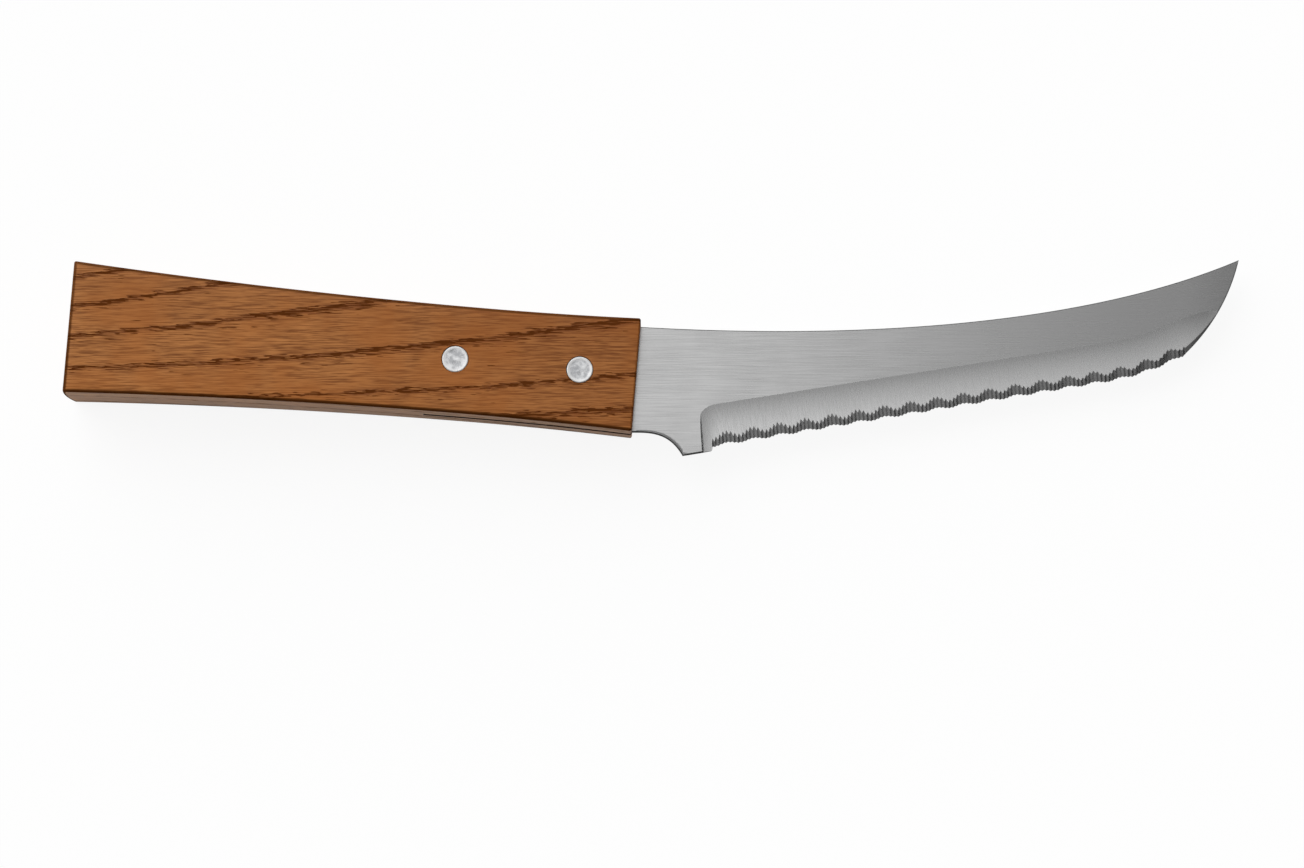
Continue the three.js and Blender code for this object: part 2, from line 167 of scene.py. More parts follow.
@dataclass
class Skin:
    """A closed surface, as points and as faces that index them."""

    points: np.ndarray
    faces: list[list[int]]

    @classmethod
    def tube(cls, rings: np.ndarray) -> Skin:
        """Skins a row of rings with quads, and closes both ends with one face each.

        Args:
            rings: Array of ring, point on the ring and coordinate. Rings turn by the right hand about the
                way from the first to the last.

        Returns:
            The closed surface.
        """
        count, sides = rings.shape[:2]
        ring = np.arange(count - 1)[:, None] * sides
        side = np.arange(sides)[None, :]
        onward = (side + 1) % sides
        quads = np.stack([ring + side, ring + onward, ring + onward + sides, ring + side + sides], axis=-1)
        first = np.arange(sides)[::-1]
        last = np.arange(sides) + (count - 1) * sides
        faces = [*quads.reshape(-1, 4).tolist(), first.tolist(), last.tolist()]
        return cls(rings.reshape(-1, 3), faces)

    def to_object(self, name: str, lay: Lay) -> bpy.types.Object:
        """Puts the surface into a mesh of its own.

        Args:
            name: The piece's name.
            lay: How the knife lies in the model's frame.

        Returns:
            The new object, linked to the scene.
        """
        mesh = bpy.data.meshes.new(name)
        mesh.from_pydata(lay.to_world(self.points), [], self.faces, shade_flat=False)
        mesh.update()
        return add_object(name, mesh)


@dataclass
class Lay:
    """How the knife lies on the table: canted about Z, and tipped about Y by half its handle's taper."""

    handle: Handle
    cant_deg: float = 4.8
    origin: np.ndarray = field(default_factory=lambda: np.zeros(3))

    @property
    def taper(self) -> float:
        """How much the handle's half thickness grows for each millimetre towards the butt."""
        return (self.handle.butt_thickness - self.handle.front_thickness) / (2 * self.handle.length)

    @property
    def handle_turn(self) -> Matrix:
        """Turns a direction of the handle's frame into the model's frame."""
        cant = Matrix.Rotation(-math.radians(self.cant_deg), 3, "Z")
        return cant @ Matrix.Rotation(math.atan(self.taper), 3, "Y")

    @property
    def blade_turn(self) -> Matrix:
        """Turns a direction of the blade's frame into the model's frame."""
        return self.handle_turn @ Matrix.Rotation(math.radians(self.cant_deg), 3, "Z")

    def settle(self, points: np.ndarray, node: str) -> None:
        """Finds the origin, so that the points' box has the same middle as a node of the model.

        Args:
            points: Points of that node's surface in the blade's frame.
            node: The node's name.
        """
        low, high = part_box(node)
        turned = points @ np.array(self.blade_turn).T
        middle = (turned.min(0) + turned.max(0)) / 2
        self.origin = np.array((low + high) / 2) / MM - middle

    def to_world(self, points: np.ndarray) -> np.ndarray:
        """Points of the blade's frame in the model's frame, in metres."""
        return (points @ np.array(self.blade_turn).T + self.origin) * MM

    def to_blade(self, points: np.ndarray) -> np.ndarray:
        """Points of the model's frame, in metres, in the blade's frame."""
        return (points / MM - self.origin) @ np.array(self.blade_turn)

    def from_handle(self, points: np.ndarray) -> np.ndarray:
        """Turns points of the handle's frame into the blade's frame.

        Args:
            points: Points of two or three coordinates.

        Returns:
            As many points of the same kind.
        """
        turn = np.array(Matrix.Rotation(-math.radians(self.cant_deg), 3, "Z"))
        size = points.shape[-1]
        return points @ turn[:size, :size].T


def cut(piece: bpy.types.Object, cutter: bpy.types.Object) -> None:
    """Takes one object's volume out of another, and removes the cutter.

    Args:
        piece: The object that is cut.
        cutter: The object that goes away.
    """
    modifier = piece.modifiers.new("cut", "BOOLEAN")
    modifier.operation = "DIFFERENCE"
    modifier.solver = "EXACT"
    modifier.object = cutter
    whole = piece.data
    evaluated = piece.evaluated_get(bpy.context.evaluated_depsgraph_get())
    piece.data = bpy.data.meshes.new_from_object(evaluated)
    piece.modifiers.clear()
    piece.data.name = piece.name
    bpy.data.meshes.remove(whole)
    bpy.data.objects.remove(cutter)


def smooth(piece: bpy.types.Object, crease_deg: float) -> None:
    """Shades a piece smooth, with its creases kept.

    Args:
        piece: The piece to shade.
        crease_deg: Edges that bend by more than this stay sharp.
    """
    piece.data.shade_smooth()
    piece.data.set_sharp_from_angle(angle=math.radians(crease_deg))


def read_vectors(items: bpy.types.bpy_prop_collection, name: str) -> np.ndarray:
    """Reads one property of all the points or faces of a mesh.

    Args:
        items: The points or faces.
        name: A property of three numbers.

    Returns:
        Its values, one item a row.
    """
    values = np.zeros(len(items) * 3, np.float32)
    items.foreach_get(name, values)
    return values.reshape(-1, 3)


def lay_map(mesh: bpy.types.Mesh, name: str, places: np.ndarray) -> None:
    """Lays a map on a mesh.

    Args:
        mesh: The mesh.
        name: The map's name.
        places: U and V of each vertex.
    """
    corners = np.zeros(len(mesh.loops), np.int32)
    mesh.loops.foreach_get("vertex_index", corners)
    mesh.uv_layers.new(name=name).uv.foreach_set("vector", places[corners].astype(np.float32).ravel())


def attach(piece: bpy.types.Object, node: str) -> None:
    """Lets a piece stand for a node of the model and move with it.

    Args:
        piece: The finished piece.
        node: The node that it replaces.
    """
    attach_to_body(piece, BODY)
    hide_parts(node)
    LOG.info("%s: %d points, %d faces", piece.name, len(piece.data.vertices), len(piece.data.polygons))


class Graph:
    """A node tree that is written from its inputs to its output."""

    # Where a Mix node has its colours among its inputs and its outputs
    MIX_FIRST = 6
    MIX_SECOND = 7
    MIX_RESULT = 2

    def __init__(self, tree: bpy.types.NodeTree) -> None:
        """Starts from an empty tree."""
        self.tree = tree
        tree.nodes.clear()

    def node(self, kind: str, **settings: object) -> bpy.types.Node:
        """Adds a node and sets its properties.

        Args:
            kind: The node's type, without the words before it that all shader nodes share.
            settings: Properties of the node.

        Returns:
            The new node.
        """
        made = self.tree.nodes.new(kind if kind.startswith("Node") else "ShaderNode" + kind)
        for name, value in settings.items():
            setattr(made, name, value)
        return made

    def put(self, socket: Socket, value: Value | tuple | Vector) -> None:
        """Links an input to a value that is a socket too, and sets it to any other value.

        Args:
            socket: The input to fill.
            value: What goes into it. A colour may come without its alpha.
        """
        if isinstance(value, bpy.types.NodeSocket):
            self.tree.links.new(value, socket)
        elif socket.type == "RGBA" and len(value) == 3:
            socket.default_value = (*value, 1.0)
        else:
            socket.default_value = value

    def math(self, operation: str, *values: Value) -> Socket:
        """Works out a Math node.

        Args:
            operation: What the node does.
            values: Its one to three inputs.

        Returns:
            The node's result.
        """
        made = self.node("Math", operation=operation)
        for socket, value in zip(made.inputs, values):
            self.put(socket, value)
        return made.outputs[0]

    def vector(self, operation: str, *values: Value | tuple) -> Socket:
        """Works out a Vector Math node.

        Args:
            operation: What the node does.
            values: Its two inputs.

        Returns:
            A number for a dot product, and a vector otherwise.
        """
        made = self.node("VectorMath", operation=operation)
        for socket, value in zip(made.inputs, values):
            self.put(socket, value)
        return made.outputs["Value" if operation == "DOT_PRODUCT" else "Vector"]

    def ramp(self, value: Value, low: Value, high: Value, start: Value = 0.0, end: Value = 1.0) -> Socket:
        """Goes smoothly from start to end as a value goes from low to high.

        Args:
            value: The value.
            low: Where the way starts.
            high: Where it ends.
            start: The result at low and below.
            end: The result at high and above.

        Returns:
            The result.
        """
        made = self.node("MapRange", interpolation_type="SMOOTHSTEP")
        for socket, given in zip(made.inputs, (value, low, high, start, end)):
            self.put(socket, given)
        return made.outputs[0]

    def curve(self, value: Value, stops: list[tuple[float, float]]) -> Socket:
        """A curve of straight stretches from 0 to 1.

        Args:
            value: Where to read the curve.
            stops: Place and height of each of its corners.

        Returns:
            Its height there.
        """
        made = self.node("ValToRGB")
        self.put(made.inputs[0], value)
        corners = made.color_ramp.elements
        while len(corners) < len(stops):
            corners.new(1.0)
        for corner, (place, height) in zip(corners, stops):
            corner.position = place
            corner.color = (height, height, height, 1.0)
        return made.outputs[0]

    def mix(self, share: Value, first: Socket | Colour, second: Socket | Colour) -> Socket:
        """Mixes one colour into another.

        Args:
            share: How much of the second colour there is, from 0 to 1.
            first: The colour that it goes into.
            second: The colour that goes in.

        Returns:
            The mixed colour.
        """
        made = self.node("Mix", data_type="RGBA")
        self.put(made.inputs["Factor"], share)
        self.put(made.inputs[self.MIX_FIRST], first)
        self.put(made.inputs[self.MIX_SECOND], second)
        return made.outputs[self.MIX_RESULT]

    def group(self, tree: bpy.types.NodeTree, **values: Value | tuple) -> Socket:
        """Places a shared effect with its own values.

        Args:
            tree: The effect's node group.
            values: Its inputs by their names.

        Returns:
            Its only output.
        """
        made = self.node("Group", node_tree=tree)
        for name, value in values.items():
            self.put(made.inputs[name], value)
        return made.outputs[0]


class Effects:
    """Shared effects, each a node group that is built once."""

    MOTTLE_DETAIL = 3.0

    def __init__(self) -> None:
        """Builds the groups."""
        self.streaks = self._streaks()
        self.mottle = self._mottle()

    @staticmethod
    def _start(name: str, inputs: dict[str, str]) -> tuple[Graph, bpy.types.Node, bpy.types.Node]:
        """An empty group with named inputs and one output.

        Args:
            name: The group's name.
            inputs: Each input's name and socket type.

        Returns:
            The group's graph, its input node and its output node.
        """
        tree = bpy.data.node_groups.new(name, "ShaderNodeTree")
        for label, kind in inputs.items():
            tree.interface.new_socket(label, in_out="INPUT", socket_type=kind)
        tree.interface.new_socket("Mask", in_out="OUTPUT", socket_type="NodeSocketFloat")
        graph = Graph(tree)
        return graph, graph.node("NodeGroupInput"), graph.node("NodeGroupOutput")

    @staticmethod
    def _noise(graph: Graph, place: Socket, scale: Value, detail: Value) -> Socket:
        """Adds noise to a group.

        Args:
            graph: The group's graph.
            place: Where the noise is read.
            scale: How many of its clouds fit into a millimetre.
            detail: How many finer layers it has.

        Returns:
            The noise, from 0 to 1.
        """
        noise = graph.node("TexNoise")
        for label, value in (("Vector", place), ("Scale", scale), ("Detail", detail)):
            graph.put(noise.inputs[label], value)
        return noise.outputs[0]

    def _streaks(self) -> bpy.types.NodeTree:
        """Noise drawn out along X: fibres of wood, and scratches of a belt or a wheel.

        Returns:
            The group, which takes a place, the length and width of the streaks, and their detail.
        """
        scalar = "NodeSocketFloat"
        kinds = {"Place": "NodeSocketVector", "Length": scalar, "Width": scalar, "Detail": scalar}
        graph, given, result = self._start("streaks", kinds)
        size = graph.node("CombineXYZ")
        for axis, label in zip(size.inputs, ("Length", "Width", "Width")):
            graph.put(axis, given.outputs[label])
        place = graph.vector("DIVIDE", given.outputs["Place"], size.outputs[0])
        graph.put(result.inputs[0], self._noise(graph, place, 1.0, given.outputs["Detail"]))
        return graph.tree

    def _mottle(self) -> bpy.types.NodeTree:
        """Soft cloudy noise of one size in all directions.

        Returns:
            The group, which takes a place and the size of the clouds.
        """
        kinds = {"Place": "NodeSocketVector", "Size": "NodeSocketFloat"}
        graph, given, result = self._start("mottle", kinds)
        scale = graph.math("DIVIDE", 1.0, given.outputs["Size"])
        graph.put(result.inputs[0], self._noise(graph, given.outputs["Place"], scale, self.MOTTLE_DETAIL))
        return graph.tree


@dataclass(frozen=True)
class Strand:
    """Noise that is drawn out along fibres or scratches, and how it counts in a tone.

    Its limits are the noise that gives the darkest and the lightest tone.
    """

    length: float
    width: float
    detail: float
    limits: tuple[float, float] = (0.0, 1.0)
    share: float = 1.0


@dataclass(frozen=True)
class Finish:
    """What all finishes share: the effects, and the way the knife lies."""

    effects: Effects
    lay: Lay

    def start(self, name: str) -> tuple[bpy.types.Material, Graph, bpy.types.Node]:
        """A material with one Principled shader.

        Args:
            name: The material's name.

        Returns:
            The material, its graph and its shader.
        """
        material = bpy.data.materials.new(name)
        material.use_nodes = True
        graph = Graph(material.node_tree)
        shader = graph.node("BsdfPrincipled")
        output = graph.node("OutputMaterial")
        graph.put(output.inputs["Surface"], shader.outputs[0])
        return material, graph, shader

    def place(self, graph: Graph, turn: Matrix) -> Socket:
        """Object coordinates in millimetres from the knife's origin.

        Args:
            graph: The material's graph.
            turn: Turns a direction of the model's frame into the frame that is wanted.

        Returns:
            The place as a vector.
        """
        coordinates = graph.node("TexCoord")
        mapping = graph.node("Mapping")
        graph.put(mapping.inputs["Vector"], coordinates.outputs["Object"])
        graph.put(mapping.inputs["Location"], turn @ -Vector(self.lay.origin))
        graph.put(mapping.inputs["Rotation"], turn.to_euler("XYZ"))
        graph.put(mapping.inputs["Scale"], (1.0 / MM,) * 3)
        return mapping.outputs[0]

    def strand(self, graph: Graph, place: Socket, kind: Strand) -> Socket:
        """Noise that is drawn out along X.

        Args:
            graph: The material's graph.
            place: The place in a frame whose X axis follows the fibres or scratches.
            kind: How long, wide and fine they are.

        Returns:
            The noise, from 0 to 1.
        """
        sizes = {"Length": kind.length, "Width": kind.width, "Detail": kind.detail}
        return graph.group(self.effects.streaks, Place=place, **sizes)

    @staticmethod
    def relief(graph: Graph, shader: bpy.types.Node, height: Socket, depth_mm: float) -> None:
        """Raises the surface by a height from 0 to 1.

        Args:
            graph: The material's graph.
            shader: Its shader.
            height: The height over the surface.
            depth_mm: What a height of 1 measures.
        """
        bump = graph.node("Bump")
        graph.put(bump.inputs["Height"], height)
        graph.put(bump.inputs["Distance"], depth_mm * MM)
        graph.put(shader.inputs["Normal"], bump.outputs[0])


@dataclass(frozen=True)
class OiledWood(Finish):
    """Ring-porous hardwood under oil: growth rings that start with a band of open pores."""

    light: Colour = (0.446, 0.174, 0.046)
    dark: Colour = (0.170, 0.051, 0.008)
    warm: Colour = (0.36, 0.112, 0.018)
    deep: Colour = (0.15, 0.036, 0.004)
    pore: Colour = (0.075, 0.020, 0.004)
    edge_wear_and_shade: Colour = (0.050, 0.014, 0.002)
    roughness: float = 0.42
    roughness_swing: float = 0.12
    coat: float = 0.4
    coat_roughness: float = 0.42
    relief_depth: float = 0.02
    fibre_height: float = 0.25
    grain_dive_deg: float = 1.5

    # The wood's tone, as fibres of three sizes
    fine: Strand = Strand(10.0, 0.21, 2.0, (0.37, 0.61), 0.72)
    fleck: Strand = Strand(2.4, 0.2, 1.0, (0.35, 0.65), 0.18)
    broad: Strand = Strand(60.0, 1.8, 2.0, (0.3, 0.7), 0.10)

    # Where the wood is warmer, in clouds, and where it is deeper, towards the front and the upper edge
    cloud_size: float = 13.0
    cloud_limits: tuple[float, float] = (0.4, 0.66)
    cloud_share: float = 0.55
    front_reach: tuple[float, float] = (-75.0, -5.0)
    front_share: float = 0.25
    upper_reach: tuple[float, float] = (0.0, 11.0)
    upper_share: float = 0.14

    # Painted sheen on the narrow sides, a grey-tan colour that stands for the grazing reflection of the pale
    # table: its depth, and how far it stays off the broad sides
    narrow_sheen: Colour = (0.45, 0.31, 0.185)
    narrow_sheen_dark: Colour = (0.28, 0.18, 0.10)
    narrow_sheen_limits: tuple[float, float] = (0.3, 0.7)
    narrow_sheen_depth: tuple[float, float] = (0.1, 0.3)
    narrow_sheen_margin: tuple[float, float] = (0.2, 0.6)
    narrow_sheen_share: float = 0.45

    # Darkened corners, partly wear and partly painted shade: their depth, and how much less dark the upper
    # edge and the front end are
    wear_and_shade_depth: tuple[float, float] = (0.35, 0.75)
    wear_and_shade_share: float = 0.92
    wear_and_shade_rise: tuple[float, float] = (-8.0, 8.0)
    wear_and_shade_upper: float = 0.85
    front_guard: float = 0.7

    # Half the way over which the outline's parabola changes at the waist
    waist_step: float = 0.01

    # Painted shade in the kerf, nearly black: how far it reaches past the end and the walls
    kerf_shade: Colour = (0.020, 0.010, 0.005)
    kerf_shade_end: float = 0.3
    kerf_shade_side: float = 0.15
    kerf_shade_share: float = 0.95

    # Rings on the right face: a ring's height above the handle's axis is
    # slope * x + bow * x^2 + level * fan(x)
    ring_slope: float = 0.187
    ring_bow: float = 0.0006
    ring_fan: float = 0.35
    ring_levels: tuple[float, ...] = (60.5, 52.0, 43.5, 35.1, 26.6, 17.8, 8.4, 0.3, -4.5, -12.0)
    ring_tilt: float = 1.3
    ring_wander: Strand = Strand(11.0, 5.0, 2.0, share=0.8)
    ring_rag: Strand = Strand(3.2, 0.3, 1.0, share=2.2)

    # Pores: the noise of the vessels passes a limit, which is lower where they crowd
    pore_share: float = 0.88
    vessel: Strand = Strand(3.2, 0.18, 0.0)
    crowd: Strand = Strand(6.0, 2.5, 1.0, share=0.3)
    pore_edge: tuple[float, float] = (0.15, 0.21)

    # Place in the ring, and the limit that the noise must pass there
    pore_limits: tuple[tuple[float, float], ...] = (
        (0.0, 0.28),
        (0.04, 0.33),
        (0.08, 0.43),
        (0.12, 0.56),
        (0.2, 0.70),
        (0.5, 0.84),
        (0.99, 0.86),
    )

    # How much darker the wood round the pores is: place in the ring, and share
    early_wood: tuple[tuple[float, float], ...] = (
        (0.0, 0.6),
        (0.09, 0.48),
        (0.18, 0.0),
        (0.98, 0.0),
        (1.0, 0.6),
    )

    def material(self, handle: Handle) -> bpy.types.Material:
        """The wood of the handle.

        Args:
            handle: Gives the block's sizes, for its darkened edges.

        Returns:
            The material.
        """
        material, graph, shader = self.start("oiled_wood")
        place = self.place(graph, self.lay.handle_turn.transposed())
        cant = Matrix.Rotation(-math.radians(self.lay.cant_deg), 3, "Z")
        dive = Matrix.Rotation(math.radians(self.grain_dive_deg), 3, "Y")
        along = graph.node("Mapping")
        graph.put(along.inputs["Vector"], place)
        graph.put(along.inputs["Rotation"], (dive @ cant).to_euler("XYZ"))
        fibre = along.outputs[0]

        kinds = (self.fine, self.fleck, self.broad)
        noises = [self.strand(graph, fibre, kind) for kind in kinds]
        tone: Value = 0.0
        for noise, kind in zip(noises, kinds):
            tone = graph.math("MULTIPLY_ADD", graph.ramp(noise, *kind.limits), kind.share, tone)
        colour = graph.mix(tone, self.dark, self.light)
        cloud = graph.group(self.effects.mottle, Place=place, Size=self.cloud_size)
        warmth = graph.ramp(cloud, *self.cloud_limits, 0.0, self.cloud_share)
        colour = graph.mix(warmth, colour, self.warm)
        axis = graph.node("SeparateXYZ")
        graph.put(axis.inputs[0], place)
        x, y, _ = axis.outputs
        colour = graph.mix(graph.ramp(x, *self.front_reach, 0.0, self.front_share), colour, self.deep)
        colour = graph.mix(graph.ramp(y, *self.upper_reach, 0.0, self.upper_share), colour, self.deep)

        fine = noises[0]
        phase = self._ring_phase(graph, place, fibre, handle)
        pores = self._pores(graph, fibre, phase)
        colour = graph.mix(graph.curve(phase, list(self.early_wood)), colour, self.deep)
        colour = graph.mix(graph.math("MULTIPLY", pores, self.pore_share), colour, self.pore)
        to_side, to_top, to_end = self._depths(graph, axis.outputs, handle)
        # painted sheen: the narrow sides take a grey-tan colour for the grazing reflection of the pale table
        shallow = graph.ramp(to_top, *self.narrow_sheen_depth, self.narrow_sheen_share, 0.0)
        narrow = graph.math("MULTIPLY", shallow, graph.ramp(to_side, *self.narrow_sheen_margin))
        painted_sheen = graph.mix(graph.ramp(fine, *self.narrow_sheen_limits), self.narrow_sheen_dark, self.narrow_sheen)
        colour = graph.mix(narrow, colour, painted_sheen)
        # painted shade: the kerf's walls go nearly black
        colour = graph.mix(self._kerf(graph, axis.outputs, handle), colour, self.kerf_shade)
        # darkened corners: partly wear, partly painted shade, less on the upper edge, where more light falls
        near = graph.math("MINIMUM", to_side, to_top)
        far = graph.math("MAXIMUM", to_side, to_top)
        second = graph.math("MINIMUM", far, graph.math("MAXIMUM", near, to_end))
        wear_and_shade = graph.ramp(second, *self.wear_and_shade_depth, self.wear_and_shade_share, 0.0)
        wear_and_shade = graph.math("MULTIPLY", wear_and_shade, graph.ramp(y, *self.wear_and_shade_rise, 1.0, self.wear_and_shade_upper))
        colour = graph.mix(wear_and_shade, colour, self.edge_wear_and_shade)
        graph.put(shader.inputs["Base Color"], colour)
        rough = graph.math("MULTIPLY_ADD", fine, self.roughness_swing, self.roughness)
        graph.put(shader.inputs["Roughness"], rough)
        graph.put(shader.inputs["Specular IOR Level"], 0.0)
        open_wood = graph.math("MAXIMUM", pores, wear_and_shade)
        coat = graph.math("MULTIPLY_ADD", open_wood, -self.coat, self.coat)
        graph.put(shader.inputs["Coat Weight"], coat)
        graph.put(shader.inputs["Coat Roughness"], self.coat_roughness)
        height = graph.math("SUBTRACT", graph.math("MULTIPLY", fine, self.fibre_height), pores)
        self.relief(graph, shader, height, self.relief_depth)
        return material

    def _ring_phase(self, graph: Graph, place: Socket, fibre: Socket, handle: Handle) -> Socket:
        """How far the wood is through its growth ring.

        The place's level is (y - slope * x - bow * x^2) / fan(x), tilted through the thickness, and the rings
        start at the levels that are given.

        Args:
            graph: The material's graph.
            place: Place in the handle's frame.
            fibre: Place in a frame whose X axis follows the fibres, which make a ring's start ragged.
            handle: Gives the block's length.

        Returns:
            0 where a ring's band of pores starts, rising to 1 at the next band.
        """
        parts = graph.node("SeparateXYZ")
        graph.put(parts.inputs[0], place)
        x, y, z = parts.outputs
        for at, kind in ((place, self.ring_wander), (fibre, self.ring_rag)):
            swing = graph.math("SUBTRACT", self.strand(graph, at, kind), 0.5)
            y = graph.math("MULTIPLY_ADD", swing, kind.share, y)
        rise = graph.math("MULTIPLY", x, graph.math("MULTIPLY_ADD", x, self.ring_bow, self.ring_slope))
        fan = graph.math("MULTIPLY_ADD", x, 2 * self.ring_fan / handle.length, 1.0 + self.ring_fan)
        level = graph.math("DIVIDE", graph.math("SUBTRACT", y, rise), fan)
        face = graph.math("MULTIPLY_ADD", x, -self.lay.taper, handle.front_thickness / 2)
        level = graph.math("MULTIPLY_ADD", graph.math("SUBTRACT", face, z), self.ring_tilt, level)
        top, bottom = self.ring_levels[0], self.ring_levels[-1]
        share = graph.node("MapRange")
        for socket, value in zip(share.inputs, (level, top, bottom, 0.0, 1.0)):
            graph.put(socket, value)
        last = len(self.ring_levels) - 1
        places = [(top - height) / (top - bottom) for height in self.ring_levels]
        stops = [(at, ring / last) for ring, at in enumerate(places)]
        rings = graph.math("MULTIPLY", graph.curve(share.outputs[0], stops), float(last))
        return graph.math("FRACT", rings)

    def _pores(self, graph: Graph, fibre: Socket, phase: Socket) -> Socket:
        """Open pores, drawn out along the fibres: close together where a ring starts, and few later on.

        Args:
            graph: The material's graph.
            fibre: Place in a frame whose X axis follows the fibres.
            phase: How far the wood is through its ring.

        Returns:
            1 in a pore and 0 beside it.
        """
        vessels = self.strand(graph, fibre, self.vessel)
        crowd = self.strand(graph, fibre, self.crowd)
        limit = graph.curve(phase, list(self.pore_limits))
        limit = graph.math("MULTIPLY_ADD", crowd, -self.crowd.share, limit)
        low, high = (graph.math("ADD", limit, edge) for edge in self.pore_edge)
        return graph.ramp(vessels, low, high)

    def _depths(self, graph: Graph, at: list[Socket], handle: Handle) -> tuple[Socket, Socket, Socket]:
        """How deep a place lies under the block's faces.

        Args:
            graph: The material's graph.
            at: X, Y and Z in the handle's frame.
            handle: Gives the block's sizes.

        Returns:
            Depth under the nearer broad side, the nearer narrow side and the nearer end. The front end counts
            as deeper than it is.
        """
        x, y, z = at
        half_thick = graph.math("MULTIPLY_ADD", x, -self.lay.taper, handle.front_thickness / 2)
        from_waist = graph.math("ADD", x, handle.waist_from_front)
        front = (handle.front_height - handle.waist_height) / 2 / handle.waist_from_front**2
        rear = (handle.butt_height - handle.waist_height) / 2 / (handle.length - handle.waist_from_front) ** 2
        swell = graph.ramp(from_waist, -self.waist_step, self.waist_step, rear, front)
        curve = graph.math("MULTIPLY", graph.math("MULTIPLY", from_waist, from_waist), swell)
        half_high = graph.math("ADD", curve, handle.waist_height / 2)
        to_side = graph.math("SUBTRACT", half_thick, graph.math("ABSOLUTE", z))
        to_top = graph.math("SUBTRACT", half_high, graph.math("ABSOLUTE", y))
        across = graph.math("DIVIDE", z, half_thick)
        square = graph.math("MULTIPLY", across, across)
        bulge = graph.math("MULTIPLY_ADD", square, -handle.butt_crown, handle.butt_crown)
        butt = graph.math("MULTIPLY_ADD", y, math.tan(math.radians(handle.butt_cut_deg)), bulge)
        to_butt = graph.math("ADD", graph.math("ADD", x, handle.length), butt)
        to_front = graph.math("SUBTRACT", self.front_guard, x)
        to_end = graph.math("MINIMUM", to_front, to_butt)
        return to_side, to_top, to_end

    def _kerf(self, graph: Graph, at: list[Socket], handle: Handle) -> Socket:
        """The kerf's walls, with nearly black painted shade of the narrow slot.

        Args:
            graph: The material's graph.
            at: X, Y and Z in the handle's frame.
            handle: Gives the kerf's sizes.

        Returns:
            Nearly 1 in the kerf and 0 beside it.
        """
        x, y, z = at
        centre = handle.saw_radius - handle.kerf_depth
        along = graph.math("SUBTRACT", x, centre)
        squares = graph.math("MULTIPLY_ADD", along, along, graph.math("MULTIPLY", y, y))
        from_saw = graph.math("SQRT", squares)
        inside = graph.ramp(from_saw, handle.saw_radius, handle.saw_radius + self.kerf_shade_end, 1.0, 0.0)
        half = handle.kerf_width / 2
        off = graph.math("ABSOLUTE", z)
        beside = graph.ramp(off, half, half + self.kerf_shade_side, self.kerf_shade_share, 0.0)
        return graph.math("MULTIPLY", inside, beside)


@dataclass(frozen=True)
class GroundSteel(Finish):
    """Stainless steel with the scratches of a belt in one direction, as on the flats."""

    base: Colour = (0.537, 0.537, 0.537)
    roughness: float = 0.25
    roughness_swing: float = 0.03
    anisotropy: float = 0.7
    scratches: Strand = Strand(9.0, 0.13, 2.0, (0.45, 0.95), 0.065)
    scratch_depth: float = 0.0010
    cloud_size: float = 9.0
    cloud_share: float = 0.4
    # painted shade: the steel's colour darkens towards the tip
    tip_shade: Colour = (0.45, 0.45, 0.45)
    tip_shade_blend: tuple[float, float] = (104.0, 115.0)
    grazing: float = 1.0

    def material(self, name: str, grind: Grind, edge_deg: float) -> bpy.types.Material:
        """Steel that is ground along the blade, or across it square to the edge.

        Args:
            name: The material's name.
            grind: Which way the scratches run.
            edge_deg: How far the edge rises from the blade's X axis.

        Returns:
            The material. Its gloss is drawn out square to the scratches.
        """
        material, graph, shader = self.start(name)
        turn_deg = 0.0 if grind is Grind.ALONG else -90.0 - edge_deg
        turn = Matrix.Rotation(math.radians(turn_deg), 3, "Z")
        place = self.place(graph, turn @ self.lay.blade_turn.transposed())
        scratches = self.strand(graph, place, self.scratches)
        cloud = graph.group(self.effects.mottle, Place=place, Size=self.cloud_size)
        tone = graph.math("ADD", scratches, graph.math("MULTIPLY", cloud, self.cloud_share))
        darker = tuple(c * (1.0 - self.scratches.share) for c in self.base)
        lighter = tuple(c * (1.0 + self.scratches.share) for c in self.base)
        colour = graph.mix(graph.ramp(tone, *self.scratches.limits), darker, lighter)
        # painted shade towards the tip
        along = graph.vector("DOT_PRODUCT", place, turn.col[0])
        tip_shade_share = graph.ramp(along, *self.tip_shade_blend)
        graph.put(shader.inputs["Base Color"], graph.mix(tip_shade_share, colour, self.tip_shade))
        graph.put(shader.inputs["Metallic"], 1.0)
        duller = self.roughness + self.roughness_swing
        shinier = self.roughness - self.roughness_swing
        graph.put(shader.inputs["Roughness"], graph.ramp(tone, *self.scratches.limits, duller, shinier))
        graph.put(shader.inputs["Specular Tint"], (self.grazing,) * 3)
        graph.put(shader.inputs["Anisotropic"], self.anisotropy)
        graph.put(shader.inputs["Anisotropic Rotation"], 0.25 if grind is Grind.ALONG else 0.0)
        tangent = graph.node("Tangent", direction_type="UV_MAP", uv_map=Blade.UV_NAME)
        graph.put(shader.inputs["Tangent"], tangent.outputs[0])
        self.relief(graph, shader, scratches, self.scratch_depth)
        return material


@dataclass(frozen=True)
class HollowSteel(GroundSteel):
    """The steel of the hollows and flutes, with the short, soft scratches of a wheel. Its base colour is
    brighter than the flats', painted light for their brighter reflection.
    """

    # painted light: a brighter copy of the flats' steel
    base: Colour = (0.735, 0.735, 0.735)
    roughness: float = 0.26
    scratches: Strand = Strand(5.0, 0.22, 1.0, (0.45, 0.95), 0.05)
    scratch_depth: float = 0.0006
    tip_shade: Colour = (0.44, 0.44, 0.44)
    tip_shade_blend: tuple[float, float] = (102.0, 111.0)


@dataclass(frozen=True)
class ShadedEdgeSteel(GroundSteel):
    """Rougher, unbrushed steel of the spine and the choil, whose near-black colour is painted shade."""

    # painted shade: near-black steel, with little grazing reflection
    base: Colour = (0.07, 0.07, 0.07)
    roughness: float = 0.5
    anisotropy: float = 0.0
    tip_shade: Colour = (0.07, 0.07, 0.07)
    grazing: float = 0.15


